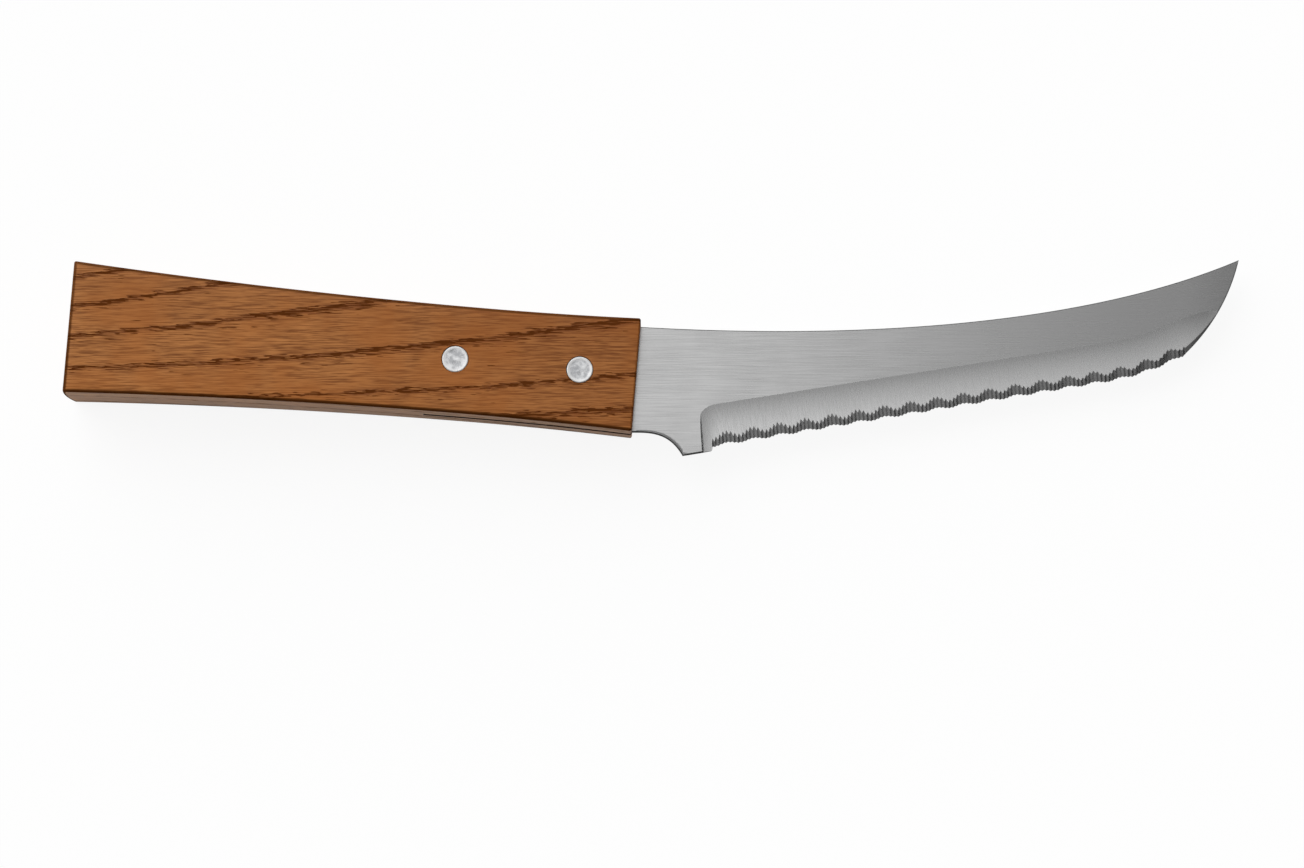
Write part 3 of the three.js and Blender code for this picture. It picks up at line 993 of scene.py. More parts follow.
@dataclass(frozen=True)
class PeenedAluminium(Finish):
    """Soft aluminium, hammered and then wiped by a belt."""

    base: Colour = (0.90, 0.905, 0.915)
    dull: Colour = (0.48, 0.488, 0.505)
    # painted highlight: a lighter colour on the rim
    rim: Colour = (0.97, 0.97, 0.965)
    highlight_edge: tuple[float, float] = (0.66, 0.86)
    highlight_share: float = 0.75
    cloud_size: float = 1.1
    grit_size: float = 0.18
    grit_share: float = 0.5
    tone_limits: tuple[float, float] = (0.55, 0.95)
    grit_limits: tuple[float, float] = (0.3, 0.7)
    roughness: tuple[float, float] = (0.36, 0.50)
    relief_depth: float = 0.015

    def material(self) -> bpy.types.Material:
        """The metal of the rivets, cloudy in its tone and its gloss.

        Returns:
            The material. Its rim is painted brighter than its middle, a painted highlight.
        """
        material, graph, shader = self.start("peened_aluminium")
        place = self.place(graph, self.lay.blade_turn.transposed())
        cloud = graph.group(self.effects.mottle, Place=place, Size=self.cloud_size)
        grit = graph.group(self.effects.mottle, Place=place, Size=self.grit_size)
        tone = graph.math("MULTIPLY_ADD", grit, self.grit_share, cloud)
        colour = graph.mix(graph.ramp(tone, *self.tone_limits), self.dull, self.base)
        out = graph.node("SeparateXYZ")
        graph.put(out.inputs[0], graph.node("UVMap", uv_map=Rivet.UV_NAME).outputs[0])
        # painted highlight on the rim
        rim = graph.ramp(out.outputs[0], *self.highlight_edge, 0.0, self.highlight_share)
        graph.put(shader.inputs["Base Color"], graph.mix(rim, colour, self.rim))
        graph.put(shader.inputs["Metallic"], 1.0)
        rough = graph.ramp(grit, *self.grit_limits, *self.roughness)
        graph.put(shader.inputs["Roughness"], rough)
        self.relief(graph, shader, tone, self.relief_depth)
        return material


@dataclass
class Handle:
    """The waisted wooden block, with the kerf for the tang and the countersunk rivet holes."""

    length: float = 108.1
    butt_height: float = 25.2
    waist_height: float = 20.5
    waist_from_front: float = 30.2
    front_height: float = 21.7
    butt_thickness: float = 15.0
    front_thickness: float = 12.0
    edge_round: float = 0.4
    end_corner: float = 0.06
    butt_crown: float = 0.6
    butt_cut_deg: float = 0.75
    kerf_width: float = 1.7
    kerf_depth: float = 40.6
    saw_radius: float = 80.0
    butt_reach: float = 8.0
    butt_core: float = 0.3
    margin: float = 1.0
    sections: int = 60
    round_steps: int = 6
    side_steps: int = 10
    cap_steps: int = 8
    saw_steps: int = 25
    crease_deg: float = 28.0

    def half_thickness(self, x: np.ndarray) -> np.ndarray:
        """Half the block's thickness at x, which is 0 at the front and grows evenly to the butt."""
        return (self.front_thickness - x * (self.butt_thickness - self.front_thickness) / self.length) / 2

    def half_height(self, x: np.ndarray) -> np.ndarray:
        """Half the block's height: a parabola on each side of the waist.

        Args:
            x: Places along the axis, 0 at the front and negative towards the butt.

        Returns:
            Half the height at each.
        """
        from_waist = x + self.waist_from_front
        in_front = from_waist > 0
        reach = np.where(in_front, self.waist_from_front, self.length - self.waist_from_front)
        end = np.where(in_front, self.front_height, self.butt_height)
        return self.waist_height / 2 + (end - self.waist_height) / 2 * (from_waist / reach) ** 2

    def _ring_template(self) -> np.ndarray:
        """A rounded rectangle as four numbers for each point.

        Returns:
            Rows of the share of the straight half height and half thickness, and of the corner's arc that
            is added to them in Y and in Z.
        """
        turn = np.linspace(0.0, math.pi / 2, self.round_steps + 1)
        slide = np.linspace(1.0, -1.0, self.side_steps + 1)[1:-1]
        rows = []
        for corner, (side_y, side_z) in enumerate(((1, 1), (-1, 1), (-1, -1), (1, -1))):
            angle = turn + corner * math.pi / 2
            arc = np.stack([np.full_like(angle, side_y), np.full_like(angle, side_z)], axis=1)
            rows.append(np.column_stack([arc, np.cos(angle), np.sin(angle)]))
            end_y, end_z = np.cos(angle[-1]).round(), np.sin(angle[-1]).round()
            along_y = slide * side_y if end_y == 0 else np.full_like(slide, side_y)
            along_z = slide * side_z if end_z == 0 else np.full_like(slide, side_z)
            straight = np.stack([along_y, along_z], axis=1)
            rows.append(np.column_stack([straight, np.full_like(slide, end_y), np.full_like(slide, end_z)]))
        return np.concatenate(rows)

    def skin(self) -> Skin:
        """The block before it is cut.

        A rounded rectangle is carried along the axis. It is drawn in by a quarter round at each end, and at
        the butt it goes on inwards to a narrow core, over a face that is crowned through the thickness.

        Returns:
            The surface in the handle's frame.
        """
        turn = np.linspace(0.0, math.pi / 2, self.round_steps + 1)[:-1]
        end_inset = self.edge_round * (1 - np.sin(turn))
        end_back = self.edge_round * (1 - np.cos(turn))
        deepest = self.butt_thickness / 2 - self.butt_core
        cap_inset = np.linspace(deepest, self.edge_round, self.cap_steps + 1)[:-1]
        body = np.linspace(self.edge_round - self.length, -self.edge_round, self.sections)
        cap = np.full_like(cap_inset, -self.length)
        x = np.concatenate([cap, end_back - self.length, body, -end_back[::-1]])
        inset = np.concatenate([cap_inset, end_inset, np.zeros_like(body), end_inset[::-1]])
        shrink = np.clip(inset / self.edge_round, 0.0, 1.0)
        radius = self.edge_round + (self.end_corner - self.edge_round) * shrink
        template = self._ring_template()
        straight_y = (self.half_height(x) - inset - radius)[:, None]
        straight_z = (self.half_thickness(x) - inset - radius)[:, None]
        y = template[:, 0] * straight_y + template[:, 2] * radius[:, None]
        z = template[:, 1] * straight_z + template[:, 3] * radius[:, None]
        across = z / self.half_thickness(x)[:, None]
        cut_out = math.tan(math.radians(self.butt_cut_deg)) * y
        at_butt = smoothstep(self.butt_reach - self.length, -self.length, x)[:, None]
        out_x = x[:, None] - at_butt * (self.butt_crown * (1 - across**2) + cut_out)
        y *= self.half_height(out_x) / self.half_height(x)[:, None]
        z *= self.half_thickness(out_x) / self.half_thickness(x)[:, None]
        return Skin.tube(np.stack([out_x, y, z], axis=-1))

    def kerf(self) -> Skin:
        """The saw's way in from the front, which ends in an arc of the saw's radius.

        Returns:
            The surface of the volume that the saw takes out, in the handle's frame.
        """
        reach = self.butt_height
        swing = math.asin(reach / self.saw_radius)
        angle = np.linspace(math.pi - swing, math.pi + swing, self.saw_steps)
        arc = np.stack([np.cos(angle), np.sin(angle)], axis=1) * self.saw_radius
        arc[:, 0] += self.saw_radius - self.kerf_depth
        outline = np.concatenate([[[self.margin, -reach], [self.margin, reach]], arc])
        heights = np.array([-0.5, 0.5]) * self.kerf_width
        rings = np.stack([np.column_stack([outline, np.full(len(outline), z)]) for z in heights])
        return Skin.tube(rings)

    def build(self, lay: Lay, rivets: list[Rivet]) -> bpy.types.Object:
        """Makes the block and cuts the kerf and the rivet holes into it.

        Args:
            lay: How the knife lies.
            rivets: The rivets that go through the block.

        Returns:
            The finished mesh's object.
        """
        cutters = [self.kerf(), *(rivet.hole(self) for rivet in rivets)]
        piece = self._placed("wooden_handle", self.skin(), lay)
        for number, skin in enumerate(cutters):
            cut(piece, self._placed(f"handle_cut_{number}", skin, lay))
        smooth(piece, self.crease_deg)
        return piece

    @staticmethod
    def _placed(name: str, skin: Skin, lay: Lay) -> bpy.types.Object:
        """A surface of the handle's frame as an object."""
        skin.points = lay.from_handle(skin.points)
        return skin.to_object(name, lay)

    def dress(self, piece: bpy.types.Object, finish: OiledWood) -> None:
        """Gives the block its wood and lets it stand for the model's handle.

        Args:
            piece: The block's object.
            finish: Its wood.
        """
        piece.data.materials.clear()
        piece.data.materials.append(finish.material(self))
        attach(piece, "handle")


@dataclass
class Rivet:
    """A solid rivet through the handle and the tang, peened over at both faces."""

    UV_NAME = "turning"

    node: str
    from_front: float
    head_diameter: float = 5.0
    shank_diameter: float = 4.4
    flare_depth: float = 0.9
    rim: float = 0.4
    dish: float = 0.05
    set_back: float = 0.1
    clearance: float = 0.1
    dent: float = 0.012
    hub: float = 0.02
    # Each wave of the dents: how often it goes round, its turn, and how fast it goes outwards
    dent_waves: tuple[tuple[int, float, float], ...] = ((2, 0.7, 5.1), (3, 2.0, 8.3))
    calm_rim: tuple[float, float] = (0.97, 0.75)
    calm_hub: tuple[float, float] = (0.0, 0.2)
    sides: int = 96
    face_steps: int = 18
    margin: float = 1.0
    crease_deg: float = 40.0

    def _turned(self, radius: np.ndarray, height: np.ndarray, sides: int) -> np.ndarray:
        """Rings of a half outline turned about Z at the rivet's place, with the axis points left out.

        Args:
            radius: Radius of each point of the outline.
            height: Its height, as an array that is like radius or has a column for each side.
            sides: How many points a ring has.

        Returns:
            Array of ring, point and coordinate in the handle's frame.
        """
        angle = np.arange(sides) * 2 * math.pi / sides
        x = radius[:, None] * np.cos(angle) - self.from_front
        y = radius[:, None] * np.sin(angle)
        z = height if height.ndim == 2 else np.repeat(height[:, None], sides, axis=1)
        return np.stack([x, y, z], axis=-1)

    def skin(self, handle: Handle) -> Skin:
        """The rivet: its half outline turned a full round, with dents in both dished faces.

        The face is low in the middle and rises smoothly to a rounded rim. The dents are waves of low order
        over the face, each of them a product of a sine round the axis and a sine outwards. They die away
        towards the rim and the middle.

        Args:
            handle: Gives the thickness at the rivet.

        Returns:
            The surface in the handle's frame.
        """
        top = float(handle.half_thickness(np.array(-self.from_front))) - self.set_back
        head = self.head_diameter / 2
        out = np.linspace(head - self.rim / 4, self.hub, self.face_steps)
        bowl = self.dish * smoothstep(head - self.rim / 2, head - 2.2 * self.rim, out)
        angle = np.arange(self.sides) * 2 * math.pi / self.sides
        share = (out / head)[:, None]
        waves = sum(np.sin(n * angle + turn) * np.sin(rate * share) for n, turn, rate in self.dent_waves)
        calm = smoothstep(*self.calm_rim, share) * smoothstep(*self.calm_hub, share)
        face = (top - bowl)[:, None] + self.dent * waves * calm
        side_radius = np.array([self.shank_diameter / 2, self.shank_diameter / 2, head, head])
        side_height = np.array([0.0, top - self.flare_depth, top - self.rim * 0.6, top - self.rim * 0.15])
        radius = np.concatenate([side_radius, out])
        height = np.concatenate([np.repeat(side_height[:, None], self.sides, axis=1), face])
        upper = self._turned(radius, height, self.sides)
        lower = upper[:0:-1] * np.array([1.0, 1.0, -1.0])
        return Skin.tube(np.concatenate([lower, upper]))

    def hole(self, handle: Handle) -> Skin:
        """The countersunk hole, which follows the rivet with clearance and runs out of both faces.

        Args:
            handle: Gives the thickness at the rivet.

        Returns:
            The surface in the handle's frame.
        """
        face = float(handle.half_thickness(np.array(-self.from_front)))
        shank = self.shank_diameter / 2 + self.clearance
        mouth = self.head_diameter / 2 + self.clearance
        neck = face - self.set_back - self.flare_depth - self.clearance
        lip = face - self.set_back - self.rim / 2
        radius = np.array([mouth, mouth, shank, shank, mouth, mouth])
        height = np.array([-face - self.margin, -lip, -neck, neck, lip, face + self.margin])
        return Skin.tube(self._turned(radius, height, self.sides))

    def tang_hole(self, thickness: float) -> Skin:
        """The plain hole through the tang.

        Args:
            thickness: The tang's thickness.

        Returns:
            The surface in the handle's frame.
        """
        reach = thickness / 2 + self.margin
        radius = np.full(2, self.shank_diameter / 2 + self.clearance)
        return Skin.tube(self._turned(radius, np.array([-reach, reach]), self.sides))

    def build(self, lay: Lay, handle: Handle) -> bpy.types.Object:
        """Makes the rivet, with a map whose U is the distance from its axis as a share of the head's radius.

        Args:
            lay: How the knife lies.
            handle: Gives the thickness at the rivet.

        Returns:
            The finished mesh's object.
        """
        skin = self.skin(handle)
        out = np.hypot(skin.points[:, 0] + self.from_front, skin.points[:, 1]) / (self.head_diameter / 2)
        skin.points = lay.from_handle(skin.points)
        piece = skin.to_object(f"peened_{self.node}", lay)
        smooth(piece, self.crease_deg)
        lay_map(piece.data, self.UV_NAME, np.stack([out, np.zeros_like(out)], axis=1))
        return piece

    def dress(self, piece: bpy.types.Object, material: bpy.types.Material) -> None:
        """Gives the rivet its metal and lets it stand for the model's rivet."""
        piece.data.materials.append(material)
        attach(piece, self.node)


@dataclass
class Ribs:
    """Lines up the blade from its lower outline to its upper one, one for each station.

    A rib leans at its foot, square to the edge, and goes straight on from its knee to its head. Its lower
    side has four points, each a height above the foot and a Z.
    """

    foot: np.ndarray
    lean: np.ndarray
    knee: np.ndarray
    head: np.ndarray
    lower: np.ndarray

    @property
    def up(self) -> np.ndarray:
        """Direction of each rib at its foot."""
        return leaning(self.lean)

    @property
    def bend(self) -> np.ndarray:
        """Where each rib has its knee."""
        return self.foot + self.up * self.knee[:, None]

    @property
    def rest(self) -> np.ndarray:
        """Way of each rib from its knee to its head."""
        return self.head - self.bend

    @classmethod
    def joined(cls, parts: list[Ribs]) -> Ribs:
        """All ribs of several stretches, in order."""
        names = ("foot", "lean", "knee", "head", "lower")
        return cls(*(np.concatenate([getattr(part, name) for part in parts]) for name in names))


@dataclass
class Blade:
    """The stainless blade: hollow-ground on both sides, serrated on the right, with its tang."""

    UV_NAME = "brushing"

    length: float = 115.7
    thickness: float = 1.5
    edge_break: float = 0.15
    choil_break: float = 0.2
    choil_roll_root: float = 0.3
    choil_roll_heel: float = 1.1
    choil_roll_slope: float = 0.2
    choil_roll_power: float = 5.0
    choil_roll_fade: float = 0.9
    root_top: float = 9.95
    root_bottom: float = -10.4
    spine_root_deg: float = -3.3
    spine_root_reach: float = 45.2
    spine_tip_deg: float = 23.2
    spine_tip_reach: float = 30.3
    tip_rise: float = 22.9
    tip_radius: float = 37.3
    tip_setback: float = 10.4
    choil_root_reach: float = 3.75
    choil_heel_deg: float = 60.0
    choil_heel_reach: float = 5.2
    heel_from_handle: float = 8.85
    heel_drop: float = 14.88
    heel_land: float = 5.4
    edge_deg: float = 9.4
    edge_upturn_length: float = 15.0
    edge_upturn_rise: float = 2.78
    edge_thickness: float = 0.45
    grind_height_heel: float = 7.85
    grind_height_tip: float = 7.1
    grind_lead: float = 1.74
    plunge_lean_deg: float = 5.0
    plunge_wall: float = 0.58
    plunge_wall_run: float = 0.42
    plunge_run: float = 4.2
    grind_fade_from_tip: float = 13.0
    grind_fade_length: float = 11.0
    heel_step: float = 1.02
    step_run: float = 0.45
    flute_height: float = 1.58
    scallop_pitch: float = 5.09
    scallop_lead: float = 3.25
    scallop_edge_swing: float = 0.22
    scallop_shoulder_swing: float = 0.49
    tooth_pitch: float = 0.76
    tooth_edge_swing: float = 0.1
    tooth_shoulder_swing_heel: float = 0.42
    tooth_shoulder_swing_tip: float = 0.2
    tip_bevel_width: float = 0.85
    tip_bevel_length: float = 11.0
    tip_bevel_deg: float = 18.0
    tang_length: float = 40.0
    tang_root_height: float = 17.0
    tang_end_height: float = 13.0
    tang_corner: float = 3.0
    tang_shoulder_depth: float = 1.5
    plain_knee: float = 0.6
    fluted_knee: float = 2.9
    tip_knee: float = 0.9
    tip_turn_run: float = 7.0
    flute_turn_run: float = 4.0
    land_turn_end: float = 0.4
    upright_run: float = 18.0
    seam: float = 0.02
    crease_deg: float = 4.5

    # Stations along the blade, and points up a face from the lower side to knee, bevel line and spine
    spine_steps: int = 1500
    corner_steps: int = 7
    choil_steps: int = 40
    land_steps: int = 14
    wall_steps: int = 16
    tip_steps: int = 90
    foot_steps: int = 6
    hollow_steps: int = 12
    flat_steps: int = 7

    # Limits of the bevel line and of the spine's broken corner, as shares of the way from knee to head
    line_tries: int = 4
    line_least: float = 0.02
    line_least_choil: float = 0.12
    line_most: float = 0.8
    spine_most: float = 0.2

    # Limits of a knee as a share of the way left to the tip, of the lower side as a share of the knee, and
    # of the sine between a rib and the outline
    knee_most: float = 0.2
    lower_most: float = 0.6
    square_least: float = 0.2

    # A face is an edge if its normal has a smaller Z part than this; the spine's lie above the bevel line
    edge_steepness: float = 0.8
    choil_steepness: float = 0.75
    spine_gap: float = 1.0
    map_per_metre: float = 10.0

    @property
    def land_end_x(self) -> float:
        """Where the plain land ends and the serrations start."""
        return self.heel_from_handle + self.heel_land

    @property
    def edge_end_x(self) -> float:
        """Where the serrations end and the round tip starts."""
        return self.length - self.tip_setback

    @property
    def grind_start_x(self) -> float:
        """Where the hollow grind starts."""
        return self.land_end_x - self.grind_lead

    def edge_y(self, x: np.ndarray) -> np.ndarray:
        """Mean line of the serrated edge: straight, then a parabola that turns up before the tip.

        Args:
            x: Places along the blade.

        Returns:
            The edge's height at each.
        """
        climb = math.tan(math.radians(self.edge_deg)) * (x - self.heel_from_handle)
        bend = self.edge_end_x - self.edge_upturn_length
        turned = np.maximum(0.0, x - bend) / self.edge_upturn_length
        return self.heel_step - self.heel_drop + climb + self.edge_upturn_rise * turned**2

    def grind_height(self, x: np.ndarray) -> np.ndarray:
        """Height of the hollow above the edge, which shrinks evenly to the tip."""
        along = (x - self.grind_start_x) / (self.edge_end_x - self.grind_start_x)
        return self.grind_height_heel + (self.grind_height_tip - self.grind_height_heel) * along

    def grind_share(self, at: np.ndarray) -> np.ndarray:
        """Depth of the hollow at the edge, as a share of its full depth: 1 - plunge - fade^2.

        The plunge leans back. It takes a share of the depth at once, by a steep wall that falls off as a
        square, and the rest over a longer run that falls off as a cube.

        Args:
            at: Points of the blade's plane, one a row.

        Returns:
            The share for each point, 0 where nothing is ground.
        """
        x, y = at[..., 0], at[..., 1]
        past = x - self.grind_start_x + math.tan(math.radians(self.plunge_lean_deg)) * (y - self.edge_y(x))
        wall = np.maximum(0.0, 1.0 - past / self.plunge_wall_run) ** 2
        run = np.maximum(0.0, 1.0 - past / self.plunge_run) ** 3
        fade = np.maximum(0.0, (x - self.length + self.grind_fade_from_tip) / self.grind_fade_length) ** 2
        return np.maximum(0.0, 1.0 - self.plunge_wall * wall - (1.0 - self.plunge_wall) * run - fade)

    def grind_depth(self, at: np.ndarray) -> np.ndarray:
        """Depth of the hollow: it falls with the square of the height above the edge.

        Args:
            at: Points of the blade's plane, one a row.

        Returns:
            The depth at each point, 0 where nothing is ground.
        """
        x, y = at[..., 0], at[..., 1]
        rise = np.maximum(0.0, (y - self.edge_y(x)) / self.grind_height(x))
        full = (self.thickness - self.edge_thickness) / 2
        return full * np.maximum(0.0, self.grind_share(at) - rise**2)

    def half_thickness(self, at: np.ndarray) -> np.ndarray:
        """Half the blade's thickness at points of its plane, one a row."""
        return self.thickness / 2 - self.grind_depth(at)

    def bevel_share(self, ribs: Ribs) -> np.ndarray:
        """Where ribs cross the line at which the hollow meets the flat.

        The height of that line depends on the place, so the place is found in a few steps.

        Args:
            ribs: The blade's ribs.

        Returns:
            Share of the way from knee to head for each rib.
        """
        knee, rest = ribs.bend, ribs.rest
        share = np.zeros(len(knee))
        by_choil = knee[:, 0] < self.heel_from_handle + self.choil_roll_fade
        least = np.where(by_choil, self.line_least_choil, self.line_least)
        for _ in range(self.line_tries):
            at = knee + rest * share[:, None]
            high = self.edge_y(at[:, 0]) + self.grind_height(at[:, 0]) * np.sqrt(self.grind_share(at))
            share = np.clip((high - knee[:, 1]) / rest[:, 1], least, self.line_most)
        return share

    def spine_points(self, lay: Lay) -> np.ndarray:
        """The spine from the handle to the tip, as one cubic curve.

        Args:
            lay: How the knife lies.

        Returns:
            Points of the blade's plane, one a row.
        """
        root = lay.from_handle(np.array([0.0, self.root_top]))
        tip = np.array([self.length, self.tip_rise])
        first = root + polar(self.spine_root_reach, self.spine_root_deg)
        second = tip - polar(self.spine_tip_reach, self.spine_tip_deg)
        return bezier([root, first, second, tip], self.spine_steps)

    def plain_lower(self, foot: np.ndarray, up: np.ndarray, bevel: np.ndarray) -> np.ndarray:
        """Lower side of a rib with no flute: square, with its corners broken and a bevel on the right.

        Args:
            foot: Feet of the ribs.
            up: Their directions there.
            bevel: Width of the right side's bevel at each, square to the outline.

        Returns:
            Four points a rib, from the left face to the right one, as height above the foot and Z.
        """
        way = ways(foot)
        square = np.abs(up[:, 1] * way[:, 0] - up[:, 0] * way[:, 1])
        square = np.maximum(self.square_least, square)
        half = self.half_thickness(foot)
        whole = np.where(foot[:, 0] < self.land_end_x, self.choil_break, self.edge_break)
        broken = np.clip(whole - (self.thickness / 2 - half), self.seam / 4, whole)
        width = np.maximum(bevel, broken) / square
        steep = bevel * math.tan(math.radians(self.tip_bevel_deg))
        drop = np.clip(steep, broken, 2 * half - 2 * broken)
        right = self.half_thickness(foot + up * width[:, None])
        none = np.zeros_like(half)
        rises = np.stack([broken / square, none, none, width], axis=1)
        depths = np.stack([-half, broken - half, half - drop, right], axis=1)
        return np.stack([rises, depths], axis=-1)

    def tang_ribs(self, lay: Lay) -> Ribs:
        """The tang, whose end has round corners and whose root steps out to the full height of the blade.

        Args:
            lay: How the knife lies.

        Returns:
            The ribs, from the tang's end to the handle's front.
        """
        t = np.linspace(0.0, 1.0, self.corner_steps)
        corner_x = self.tang_corner * t**2 - self.tang_length
        corner_y = self.tang_end_height / 2 - self.tang_corner * (1 - t) ** 2
        shoulder, root = -self.tang_shoulder_depth, self.tang_root_height / 2
        x = np.concatenate([corner_x, [shoulder - self.seam, shoulder, 0.0]])
        top = np.concatenate([corner_y, [root, self.root_top, self.root_top]])
        bottom = np.concatenate([-corner_y, [-root, self.root_bottom, self.root_bottom]])
        foot = lay.from_handle(np.stack([x, bottom], axis=1))
        head = lay.from_handle(np.stack([x, top], axis=1))
        lean = np.full_like(x, -math.radians(lay.cant_deg))
        half, broken = self.thickness / 2, self.edge_break
        rises = np.array([broken, 0.0, 0.0, broken])
        depths = np.array([-half, broken - half, half - broken, half])
        lower = np.repeat(np.stack([rises, depths], axis=-1)[None], len(x), axis=0)
        return Ribs(foot, lean, np.full_like(x, self.plain_knee), head, lower)

    def choil_ribs(self, lay: Lay) -> Ribs:
        """The hollow curve from the handle down to the heel.

        Args:
            lay: How the knife lies.

        Returns:
            The ribs, without the one at the handle's front, which the tang has.
        """
        root = lay.from_handle(np.array([0.0, self.root_bottom]))
        top = lay.from_handle(np.array([0.0, self.root_top]))
        heel = np.array([self.heel_from_handle, -self.heel_drop])
        first = root + np.array([self.choil_root_reach, 0.0])
        second = heel + polar(self.choil_heel_reach, 180.0 - self.choil_heel_deg)
        foot = bezier([root, first, second, heel], self.choil_steps)
        left = np.linspace(1.0, 0.0, len(foot))
        lean = -math.radians(lay.cant_deg) * left
        head_x = foot[:, 0] + (top - root)[0] * left
        lower = self.plain_lower(foot, leaning(lean), np.zeros(len(foot)))
        knee = np.full(len(foot), self.plain_knee)
        head = self._heads(lay, head_x)
        return Ribs(foot[1:], lean[1:], knee[1:], head[1:], lower[1:])

    def land_ribs(self, lay: Lay) -> Ribs:
        """The plain land between heel and serrations, with stations close together at the plunge.

        Args:
            lay: How the knife lies.

        Returns:
            The ribs, which lean more and more as the plunge does.
        """
        back = math.tan(math.radians(self.plunge_lean_deg)) * self.heel_step
        start_x = self.grind_start_x + back
        plain_x = np.linspace(self.heel_from_handle + self.seam, start_x - self.seam, self.land_steps)
        wall_x = np.linspace(start_x, start_x + self.plunge_wall_run, self.wall_steps)
        end_x = np.linspace(wall_x[-1], self.land_end_x + back, self.land_steps)[1:-1]
        x = np.concatenate([plain_x, wall_x, end_x])
        foot = np.stack([x, self.edge_y(x) - self.heel_step], axis=1)
        turned = smoothstep(self.heel_from_handle, start_x - self.land_turn_end, x)
        lean = math.radians(self.plunge_lean_deg) * turned
        up = leaning(lean)
        lower = self.plain_lower(foot, up, np.zeros_like(x))
        knee = np.full_like(x, self.plain_knee)
        head = self._leaning_heads(lay, foot + up * knee[:, None], lean)
        return Ribs(foot, lean, knee, head, lower)

    def serrated_ribs(self, lay: Lay) -> Ribs:
        """The serrated edge: fine teeth on a wave of scallops.

        The edge and the shoulder of the flutes both swing about their mean lines by a cosine for the scallops
        and a triangle wave for the teeth. A flute is the straight line from the edge on the left face to the
        shoulder on the right one.

        Args:
            lay: How the knife lies.

        Returns:
            The ribs, whose feet are square to the straight part of the edge.
        """
        edge_lean, plunge_lean = math.radians(self.edge_deg), math.radians(self.plunge_lean_deg)
        run_x = self.edge_end_x + self.edge_break - self.land_end_x
        teeth = math.ceil(run_x / (math.cos(edge_lean) * self.tooth_pitch / 2))
        half_teeth = np.arange(0.0, teeth * (1 - self.edge_break / run_x), 1 / 3)
        x = self.land_end_x + run_x * half_teeth / teeth
        foot = np.stack([x, self.edge_y(x)], axis=1)
        steps = np.linalg.norm(np.diff(foot, axis=0), axis=1)
        along = np.concatenate([[0.0], np.cumsum(steps)])
        turned = smoothstep(0.0, self.flute_turn_run, along)
        lean = plunge_lean + (edge_lean - plunge_lean) * turned
        up = leaning(lean)
        scallop = np.cos(2 * math.pi * (along - self.scallop_lead) / self.scallop_pitch)
        tooth = 1 - 2 * np.abs(half_teeth % 2 - 1)
        swing_fall = self.tooth_shoulder_swing_tip - self.tooth_shoulder_swing_heel
        tooth_swing = self.tooth_shoulder_swing_heel + swing_fall * half_teeth / teeth
        start = -self.heel_step - self.edge_break
        run_in = np.maximum(0.0, 1 - along / self.step_run)
        edge = self.scallop_edge_swing * scallop + self.tooth_edge_swing * tooth
        shoulder = self.flute_height + self.scallop_shoulder_swing * scallop + tooth_swing * tooth
        edge = np.maximum(-self.heel_step, edge + (start - edge) * run_in)
        shoulder = np.maximum(self.seam - self.heel_step, shoulder + (start - shoulder) * run_in)
        knee = self.plain_knee - self.heel_step
        knee = knee + (self.fluted_knee - knee) * smoothstep(0.0, self.step_run, along)
        back = -self.half_thickness(foot + up * edge[:, None])
        front = self.half_thickness(foot + up * shoulder[:, None])
        share = np.array([0.0, self.seam, 1.0 - self.seam, 1.0])
        rises = edge[:, None] + (shoulder - edge)[:, None] * share
        depths = back[:, None] + (front - back)[:, None] * share
        upper_lean = plunge_lean * smoothstep(self.land_end_x + self.upright_run, self.land_end_x, x)
        head = self._leaning_heads(lay, foot + up * knee[:, None], upper_lean)
        return Ribs(foot, lean, knee, head, np.stack([rises, depths], axis=-1))

    def tip_ribs(self, lay: Lay) -> Ribs:
        """The round tip, with its narrow bevel on the right side that runs out upwards.

        Args:
            lay: How the knife lies.

        Returns:
            The ribs, which turn from square to the edge to square to the round.
        """
        start = np.array([self.edge_end_x, float(self.edge_y(np.array(self.edge_end_x)))])
        tip = np.array([self.length, self.tip_rise])
        half = (tip - start) / 2
        away = np.array([-half[1], half[0]]) / np.linalg.norm(half)
        centre = start + half + away * math.sqrt(self.tip_radius**2 - half @ half)
        first, last = (math.atan2(*(p - centre)[::-1]) for p in (start, tip))
        gap = self.seam / self.tip_radius
        angle = np.linspace(first + gap, last - gap, self.tip_steps)
        foot = centre + self.tip_radius * np.stack([np.cos(angle), np.sin(angle)], axis=1)
        along = (angle - first) * self.tip_radius
        edge_lean = math.radians(self.edge_deg)
        turned = smoothstep(0.0, self.tip_turn_run, along)
        lean = edge_lean + (angle + math.pi / 2 - edge_lean) * turned
        up = leaning(lean)
        left = np.linalg.norm(tip - foot, axis=1)
        knee = self.fluted_knee + (self.tip_knee - self.fluted_knee) * turned
        knee = np.minimum(knee, self.knee_most * left)
        bevel = self.tip_bevel_width * np.maximum(0.0, 1 - along / self.tip_bevel_length)
        bevel = np.minimum(bevel, knee / 2)
        lower = self.plain_lower(foot, up, bevel)
        lower[:, :, 0] = np.minimum(lower[:, :, 0], self.lower_most * knee[:, None])
        head = self._heads(lay, foot[:, 0] + up[:, 0] * knee)
        return Ribs(foot, lean, knee, head, lower)

    def _heads(self, lay: Lay, x: np.ndarray) -> np.ndarray:
        """Points of the spine at x."""
        spine = self.spine_points(lay)
        return np.stack([x, np.interp(x, spine[:, 0], spine[:, 1])], axis=1)

    def _leaning_heads(self, lay: Lay, knee: np.ndarray, lean: np.ndarray) -> np.ndarray:
        """Points of the spine that leaning ribs reach from their knees."""
        above = self._heads(lay, knee[:, 0])
        return self._heads(lay, knee[:, 0] - np.tan(lean) * (above - knee)[:, 1])

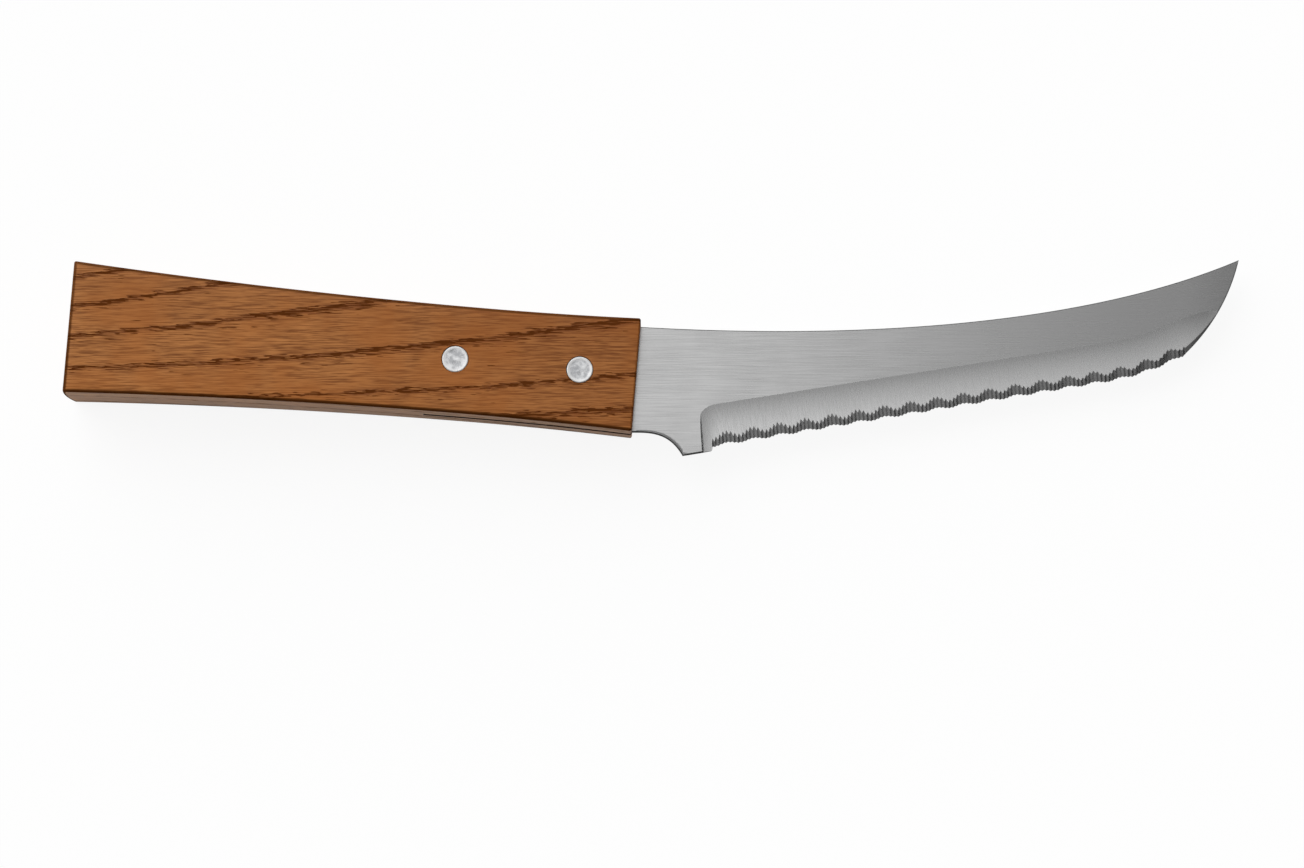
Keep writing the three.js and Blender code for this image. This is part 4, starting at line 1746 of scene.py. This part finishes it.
    def choil_roll(self, foot: np.ndarray, face: np.ndarray) -> np.ndarray:
        """How far a face rolls off towards the choil.

        The depth is slope * width * (1 - d / width)^power, where d is the distance from the corner, square
        to the outline. The width grows from the handle to the heel, and runs out on the land.

        Args:
            foot: Feet of the ribs.
            face: Points up a face, as rib, point and coordinate in the plane.

        Returns:
            Depth of each point below the flat.
        """
        way = ways(foot)
        off = face - foot[:, None]
        away = np.abs(off[..., 0] * way[:, None, 1] - off[..., 1] * way[:, None, 0])
        heel = self.heel_from_handle
        stations = [0.0, heel, heel + self.choil_roll_fade]
        widths = [self.choil_roll_root, self.choil_roll_heel, self.seam]
        width = np.interp(foot[:, 0], stations, widths, left=self.seam)[:, None]
        left = np.clip(1 - (away - away[:, :1]) / width, 0, 1)
        return self.choil_roll_slope * width * left**self.choil_roll_power

    def _spine_break(self, ribs: Ribs) -> np.ndarray:
        """How far the spine's corners are broken at each rib."""
        return np.minimum(self.edge_break, self.spine_most * np.linalg.norm(ribs.rest, axis=1))

    def _face(self, ribs: Ribs, lowest: np.ndarray) -> np.ndarray:
        """Points up one face of the blade.

        They lie evenly from the lower side to the knee, from there to the line where the hollow meets the
        flat, and from that line to the broken corner of the spine.

        Args:
            ribs: The blade's ribs.
            lowest: Height above its foot at which the face starts on each.

        Returns:
            Array of rib, point and coordinate in the plane.
        """
        rest = ribs.rest
        top = 1 - self._spine_break(ribs) / np.linalg.norm(rest, axis=1)
        bevel = self.bevel_share(ribs)
        rise = lowest[:, None] + (ribs.knee - lowest)[:, None] * np.linspace(0, 1, self.foot_steps)
        foot = ribs.foot[:, None] + ribs.up[:, None] * rise[..., None]
        hollow = bevel[:, None] * np.linspace(0, 1, self.hollow_steps)[1:]
        flat = bevel[:, None] + (top - bevel)[:, None] * np.linspace(0, 1, self.flat_steps)[1:]
        share = np.concatenate([hollow, flat], axis=1)
        upper = ribs.bend[:, None] + rest[:, None] * share[..., None]
        return np.concatenate([foot, upper], axis=1)

    def skin(self, lay: Lay) -> Skin:
        """The whole blade, as rings round its ribs.

        Each ring goes down the left face, across the lower side, up the right face and over the spine. On a
        face, Z is half the thickness at that place, less what the roll to the choil takes.

        Args:
            lay: How the knife lies.

        Returns:
            The surface in the blade's frame.
        """
        parts = [self.tang_ribs(lay), self.choil_ribs(lay), self.land_ribs(lay)]
        parts += [self.serrated_ribs(lay), self.tip_ribs(lay)]
        ribs = Ribs.joined(parts)
        broken = self._spine_break(ribs)
        left, right = (self._face(ribs, ribs.lower[:, side, 0]) for side in (0, 3))
        left_z, right_z = -self.half_thickness(left), self.half_thickness(right)
        left_z[:, 0], right_z[:, 0] = ribs.lower[:, 0, 1], ribs.lower[:, 3, 1]
        left_roll, right_roll = (self.choil_roll(ribs.foot, face) for face in (left, right))
        left_z += left_roll
        right_z -= right_roll
        lower_z = ribs.lower[:, 1:3, 1] + np.stack([left_roll[:, 0], -right_roll[:, 0]], axis=1)
        between = ribs.foot[:, None] + ribs.up[:, None] * ribs.lower[:, 1:3, 0][..., None]
        spine = np.repeat(ribs.head[:, None], 2, axis=1)
        spine_z = np.stack([right_z[:, -1] - broken, left_z[:, -1] + broken], axis=1)
        plane = np.concatenate([left[:, ::-1], between, right, spine], axis=1)
        height = np.concatenate([left_z[:, ::-1], lower_z, right_z, spine_z], axis=1)
        return Skin.tube(np.concatenate([plane, height[..., None]], axis=-1))

    def build(self, lay: Lay, rivets: list[Rivet]) -> bpy.types.Object:
        """Makes the blade, with the rivet holes through its tang and a map that follows its brushing.

        Args:
            lay: How the knife lies. Its origin is settled on the model's blade.
            rivets: The rivets that go through the tang.

        Returns:
            The finished mesh's object.
        """
        skin = self.skin(lay)
        lay.settle(skin.points, "blade")
        piece = skin.to_object("serrated_blade", lay)
        for rivet in rivets:
            hole = rivet.tang_hole(self.thickness)
            hole.points = lay.from_handle(hole.points)
            cut(piece, hole.to_object(f"tang_cut_{rivet.node}", lay))
        smooth(piece, self.crease_deg)
        self._map_brushing(piece)
        return piece

    def _finishes(self, mesh: bpy.types.Mesh, lay: Lay) -> np.ndarray:
        """Which finish each face has, by its place and the way it looks.

        Args:
            mesh: The blade's mesh.
            lay: How the knife lies.

        Returns:
            The place of its zone among the blade's materials: the flats, what a wheel has ground below the
            bevel line, or the edges, whose near-black steel is painted shade.
        """
        at = lay.to_blade(read_vectors(mesh.polygons, "center"))
        steep = np.abs(read_vectors(mesh.polygons, "normal")[:, 2])
        x, y = at[:, 0], at[:, 1]
        ground = (self.grind_depth(at[:, :2]) > 0) | (y < self.edge_y(x))
        ground &= self.grind_share(at[:, :2]) > 0
        above = y > self.edge_y(x) + self.grind_height(x) + self.spine_gap
        # painted shade: steep faces of the spine and the choil get the near-black edge steel
        edge = (steep < self.edge_steepness) & (above | (x > self.edge_end_x))
        edge |= (steep < self.choil_steepness) & (x < self.land_end_x)
        zones = np.where(ground, Zone.HOLLOWS.value, Zone.FLATS.value)
        return np.where(edge, Zone.EDGES.value, zones).astype(np.int32)

    def _map_brushing(self, piece: bpy.types.Object) -> None:
        """Lays a map on the blade with U along it, in tens of centimetres."""
        places = read_vectors(piece.data.vertices, "co")
        lay_map(piece.data, self.UV_NAME, places[:, :2] * self.map_per_metre)

    def dress(
        self,
        piece: bpy.types.Object,
        flats: GroundSteel,
        hollows: GroundSteel,
        edges: GroundSteel,
    ) -> None:
        """Gives the blade its finishes and lets it stand for the model's blade.

        Args:
            piece: The blade's object.
            flats: Finish of the flats and the tang.
            hollows: Finish of the hollows and flutes.
            edges: Finish of the spine and the choil.
        """
        zones = {
            Zone.FLATS: flats.material("brushed_flats", Grind.ALONG, self.edge_deg),
            Zone.HOLLOWS: hollows.material("ground_hollows", Grind.ACROSS, self.edge_deg),
            Zone.EDGES: edges.material("painted_shade_edges", Grind.ALONG, self.edge_deg),
        }
        piece.data.materials.clear()
        for zone in Zone:
            piece.data.materials.append(zones[zone])
        piece.data.polygons.foreach_set("material_index", self._finishes(piece.data, flats.lay))
        piece.data.update()
        attach(piece, "blade")


@dataclass
class Studio:
    """The pale table, the light and the camera."""

    lens_mm: float = 100.0
    sensor_mm: float = 36.0
    camera_place: tuple[float, float, float] = (3.006, -95.516, 687.044)
    camera_tilt_deg: float = 7.04
    camera_reach_m: tuple[float, float] = (0.01, 100.0)
    floor_side_m: float = 6.0
    floor_gap_mm: float = 0.05
    floor_shade: float = 0.93
    floor_glow: float = 0.9
    panel_light: float = 1.08
    panel_way: tuple[float, float, float] = (0.992, -0.127, 0.0)
    panel_edge: tuple[float, float] = (0.036, 0.086)
    panel_shade: float = 0.309
    corner_edge: tuple[float, float] = (0.593, 0.693)
    corner_shade: float = 0.02
    near_way: tuple[float, float, float] = (0.310, 0.951, 0.0)
    near_edge: tuple[float, float] = (-0.303, 0.060)
    near_shades: tuple[float, float] = (0.201, 0.030)
    near_split: tuple[float, float] = (-0.2, 0.3)
    window_light: float = 3.32
    window_way: tuple[float, float, float] = (-0.600, 0.720, 0.350)
    window_edge: tuple[float, float] = (0.60, 0.95)
    mirror_limit: float = 1.08
    horizon_edge: tuple[float, float] = (0.05, 0.25)
    card_light: float = 0.6
    card_edge: tuple[float, float] = (0.70, 0.85)

    def set_camera(self, lay: Lay) -> None:
        """Puts the camera where the photograph was taken from, and aims it.

        Args:
            lay: How the knife lies. The camera's place is in the blade's frame.
        """
        camera = bpy.data.cameras.new("camera")
        camera.lens = self.lens_mm
        camera.sensor_width = self.sensor_mm
        camera.clip_start, camera.clip_end = self.camera_reach_m
        holder = add_object("camera", camera)
        place = lay.to_world(np.array(self.camera_place))
        turn = lay.blade_turn @ Matrix.Rotation(math.radians(self.camera_tilt_deg), 3, "X")
        holder.matrix_world = Matrix.Translation(Vector(place)) @ turn.to_4x4()
        bpy.context.scene.camera = holder

    def set_floor(self) -> None:
        """Lays the pale table under the knife.

        It shows nearly white to the camera, keeps a soft shadow, and can be seen through from below.
        """
        half, low = self.floor_side_m / 2, -self.floor_gap_mm * MM
        corners = [(-half, -half, low), (half, -half, low), (half, half, low), (-half, half, low)]
        mesh = bpy.data.meshes.new("table")
        mesh.from_pydata(corners, [], [(0, 1, 2, 3)])
        table = add_object("table", mesh)
        material = bpy.data.materials.new("pale_table")
        material.use_nodes = True
        graph = Graph(material.node_tree)
        paper = graph.node("BsdfDiffuse")
        graph.put(paper.inputs["Color"], (self.floor_shade,) * 3)
        glow = graph.node("Emission")
        seen = graph.node("LightPath")
        side = graph.node("NewGeometry")
        clear = graph.node("BsdfTransparent")
        lit = graph.node("MixShader")
        direct = graph.math("MAXIMUM", seen.outputs["Is Camera Ray"], seen.outputs["Is Glossy Ray"])
        direct = graph.math("MAXIMUM", direct, seen.outputs["Is Transmission Ray"])
        graph.put(lit.inputs[0], graph.math("MULTIPLY", direct, self.floor_glow))
        graph.put(lit.inputs[1], paper.outputs[0])
        graph.put(lit.inputs[2], glow.outputs[0])
        both = graph.node("MixShader")
        graph.put(both.inputs[0], side.outputs["Backfacing"])
        graph.put(both.inputs[1], lit.outputs[0])
        graph.put(both.inputs[2], clear.outputs[0])
        graph.put(graph.node("OutputMaterial").inputs["Surface"], both.outputs[0])
        mesh.materials.append(material)

    def set_light(self) -> None:
        """Lights the room.

        There is a soft panel overhead, whose edges show in the steel, a window behind and a white card in
        front. The camera sees a white room. A mirror sees the lights, though none of them brighter than its
        limit, and the white room at the horizon.
        """
        world = bpy.data.worlds.new("studio")
        bpy.context.scene.world = world
        world.use_nodes = True
        graph = Graph(world.node_tree)
        way = graph.node("TexCoord").outputs["Generated"]
        parts = graph.node("SeparateXYZ")
        graph.put(parts.inputs[0], way)
        to_right = graph.vector("DOT_PRODUCT", way, self.panel_way)
        right = graph.ramp(to_right, *self.panel_edge, 1.0, self.panel_shade)
        corner = graph.ramp(to_right, *self.corner_edge, 1.0, self.corner_shade)
        lowest = graph.ramp(parts.outputs[0], *self.near_split, *self.near_shades)
        near = graph.ramp(graph.vector("DOT_PRODUCT", way, self.near_way), *self.near_edge, lowest, 1.0)
        panel = graph.math("MULTIPLY", graph.math("MULTIPLY", right, corner), near)
        window = graph.ramp(graph.vector("DOT_PRODUCT", way, self.window_way), *self.window_edge)
        light = graph.math("MULTIPLY", panel, self.panel_light)
        light = graph.math("MULTIPLY_ADD", window, self.window_light, light)
        to_front = graph.math("MULTIPLY", parts.outputs[1], -1.0)
        card = graph.ramp(to_front, *self.card_edge, 0.0, self.card_light)
        light = graph.math("MAXIMUM", light, card)
        rays = graph.node("LightPath")
        glossy = rays.outputs["Is Glossy Ray"]
        over = graph.math("MAXIMUM", graph.math("SUBTRACT", light, self.mirror_limit), 0.0)
        light = graph.math("SUBTRACT", light, graph.math("MULTIPLY", over, glossy))
        horizon = graph.ramp(parts.outputs[2], *self.horizon_edge, 1.0, 0.0)
        light = graph.math("MAXIMUM", light, graph.math("MULTIPLY", horizon, glossy))
        to_camera = rays.outputs["Is Camera Ray"]
        to_others = graph.math("SUBTRACT", 1.0, to_camera)
        seen = graph.math("MULTIPLY_ADD", light, to_others, to_camera)
        sky = graph.node("Background")
        graph.put(sky.inputs["Color"], (1.0, 1.0, 1.0))
        graph.put(sky.inputs["Strength"], seen)
        graph.put(graph.node("OutputWorld").inputs["Surface"], sky.outputs[0])

    def build(self, lay: Lay) -> None:
        """Sets the stage.

        Args:
            lay: How the knife lies.
        """
        bpy.context.scene.view_settings.view_transform = "Standard"
        self.set_camera(lay)
        self.set_floor()
        self.set_light()
        LOG.info("stage: camera, table and light")


def main() -> None:
    """Builds and dresses the knife, and sets the stage."""
    logging.basicConfig(level=logging.INFO, format="%(name)s: %(message)s")
    for left_over in list(bpy.data.objects):
        bpy.data.objects.remove(left_over)
    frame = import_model()
    LOG.info("model: %s", ", ".join(sorted(frame["nodes"])))
    effects = Effects()
    handle = Handle()
    lay = Lay(handle)
    rivets = [Rivet("front_rivet", 10.75), Rivet("rear_rivet", 34.5)]
    blade = Blade()

    blade_piece = blade.build(lay, rivets)
    steels = [steel(effects, lay) for steel in (GroundSteel, HollowSteel, ShadedEdgeSteel)]
    blade.dress(blade_piece, *steels)
    handle.dress(handle.build(lay, rivets), OiledWood(effects, lay))
    aluminium = PeenedAluminium(effects, lay).material()
    for rivet in rivets:
        rivet.dress(rivet.build(lay, handle), aluminium)
    Studio().build(lay)


if __name__ == "__main__":
    main()
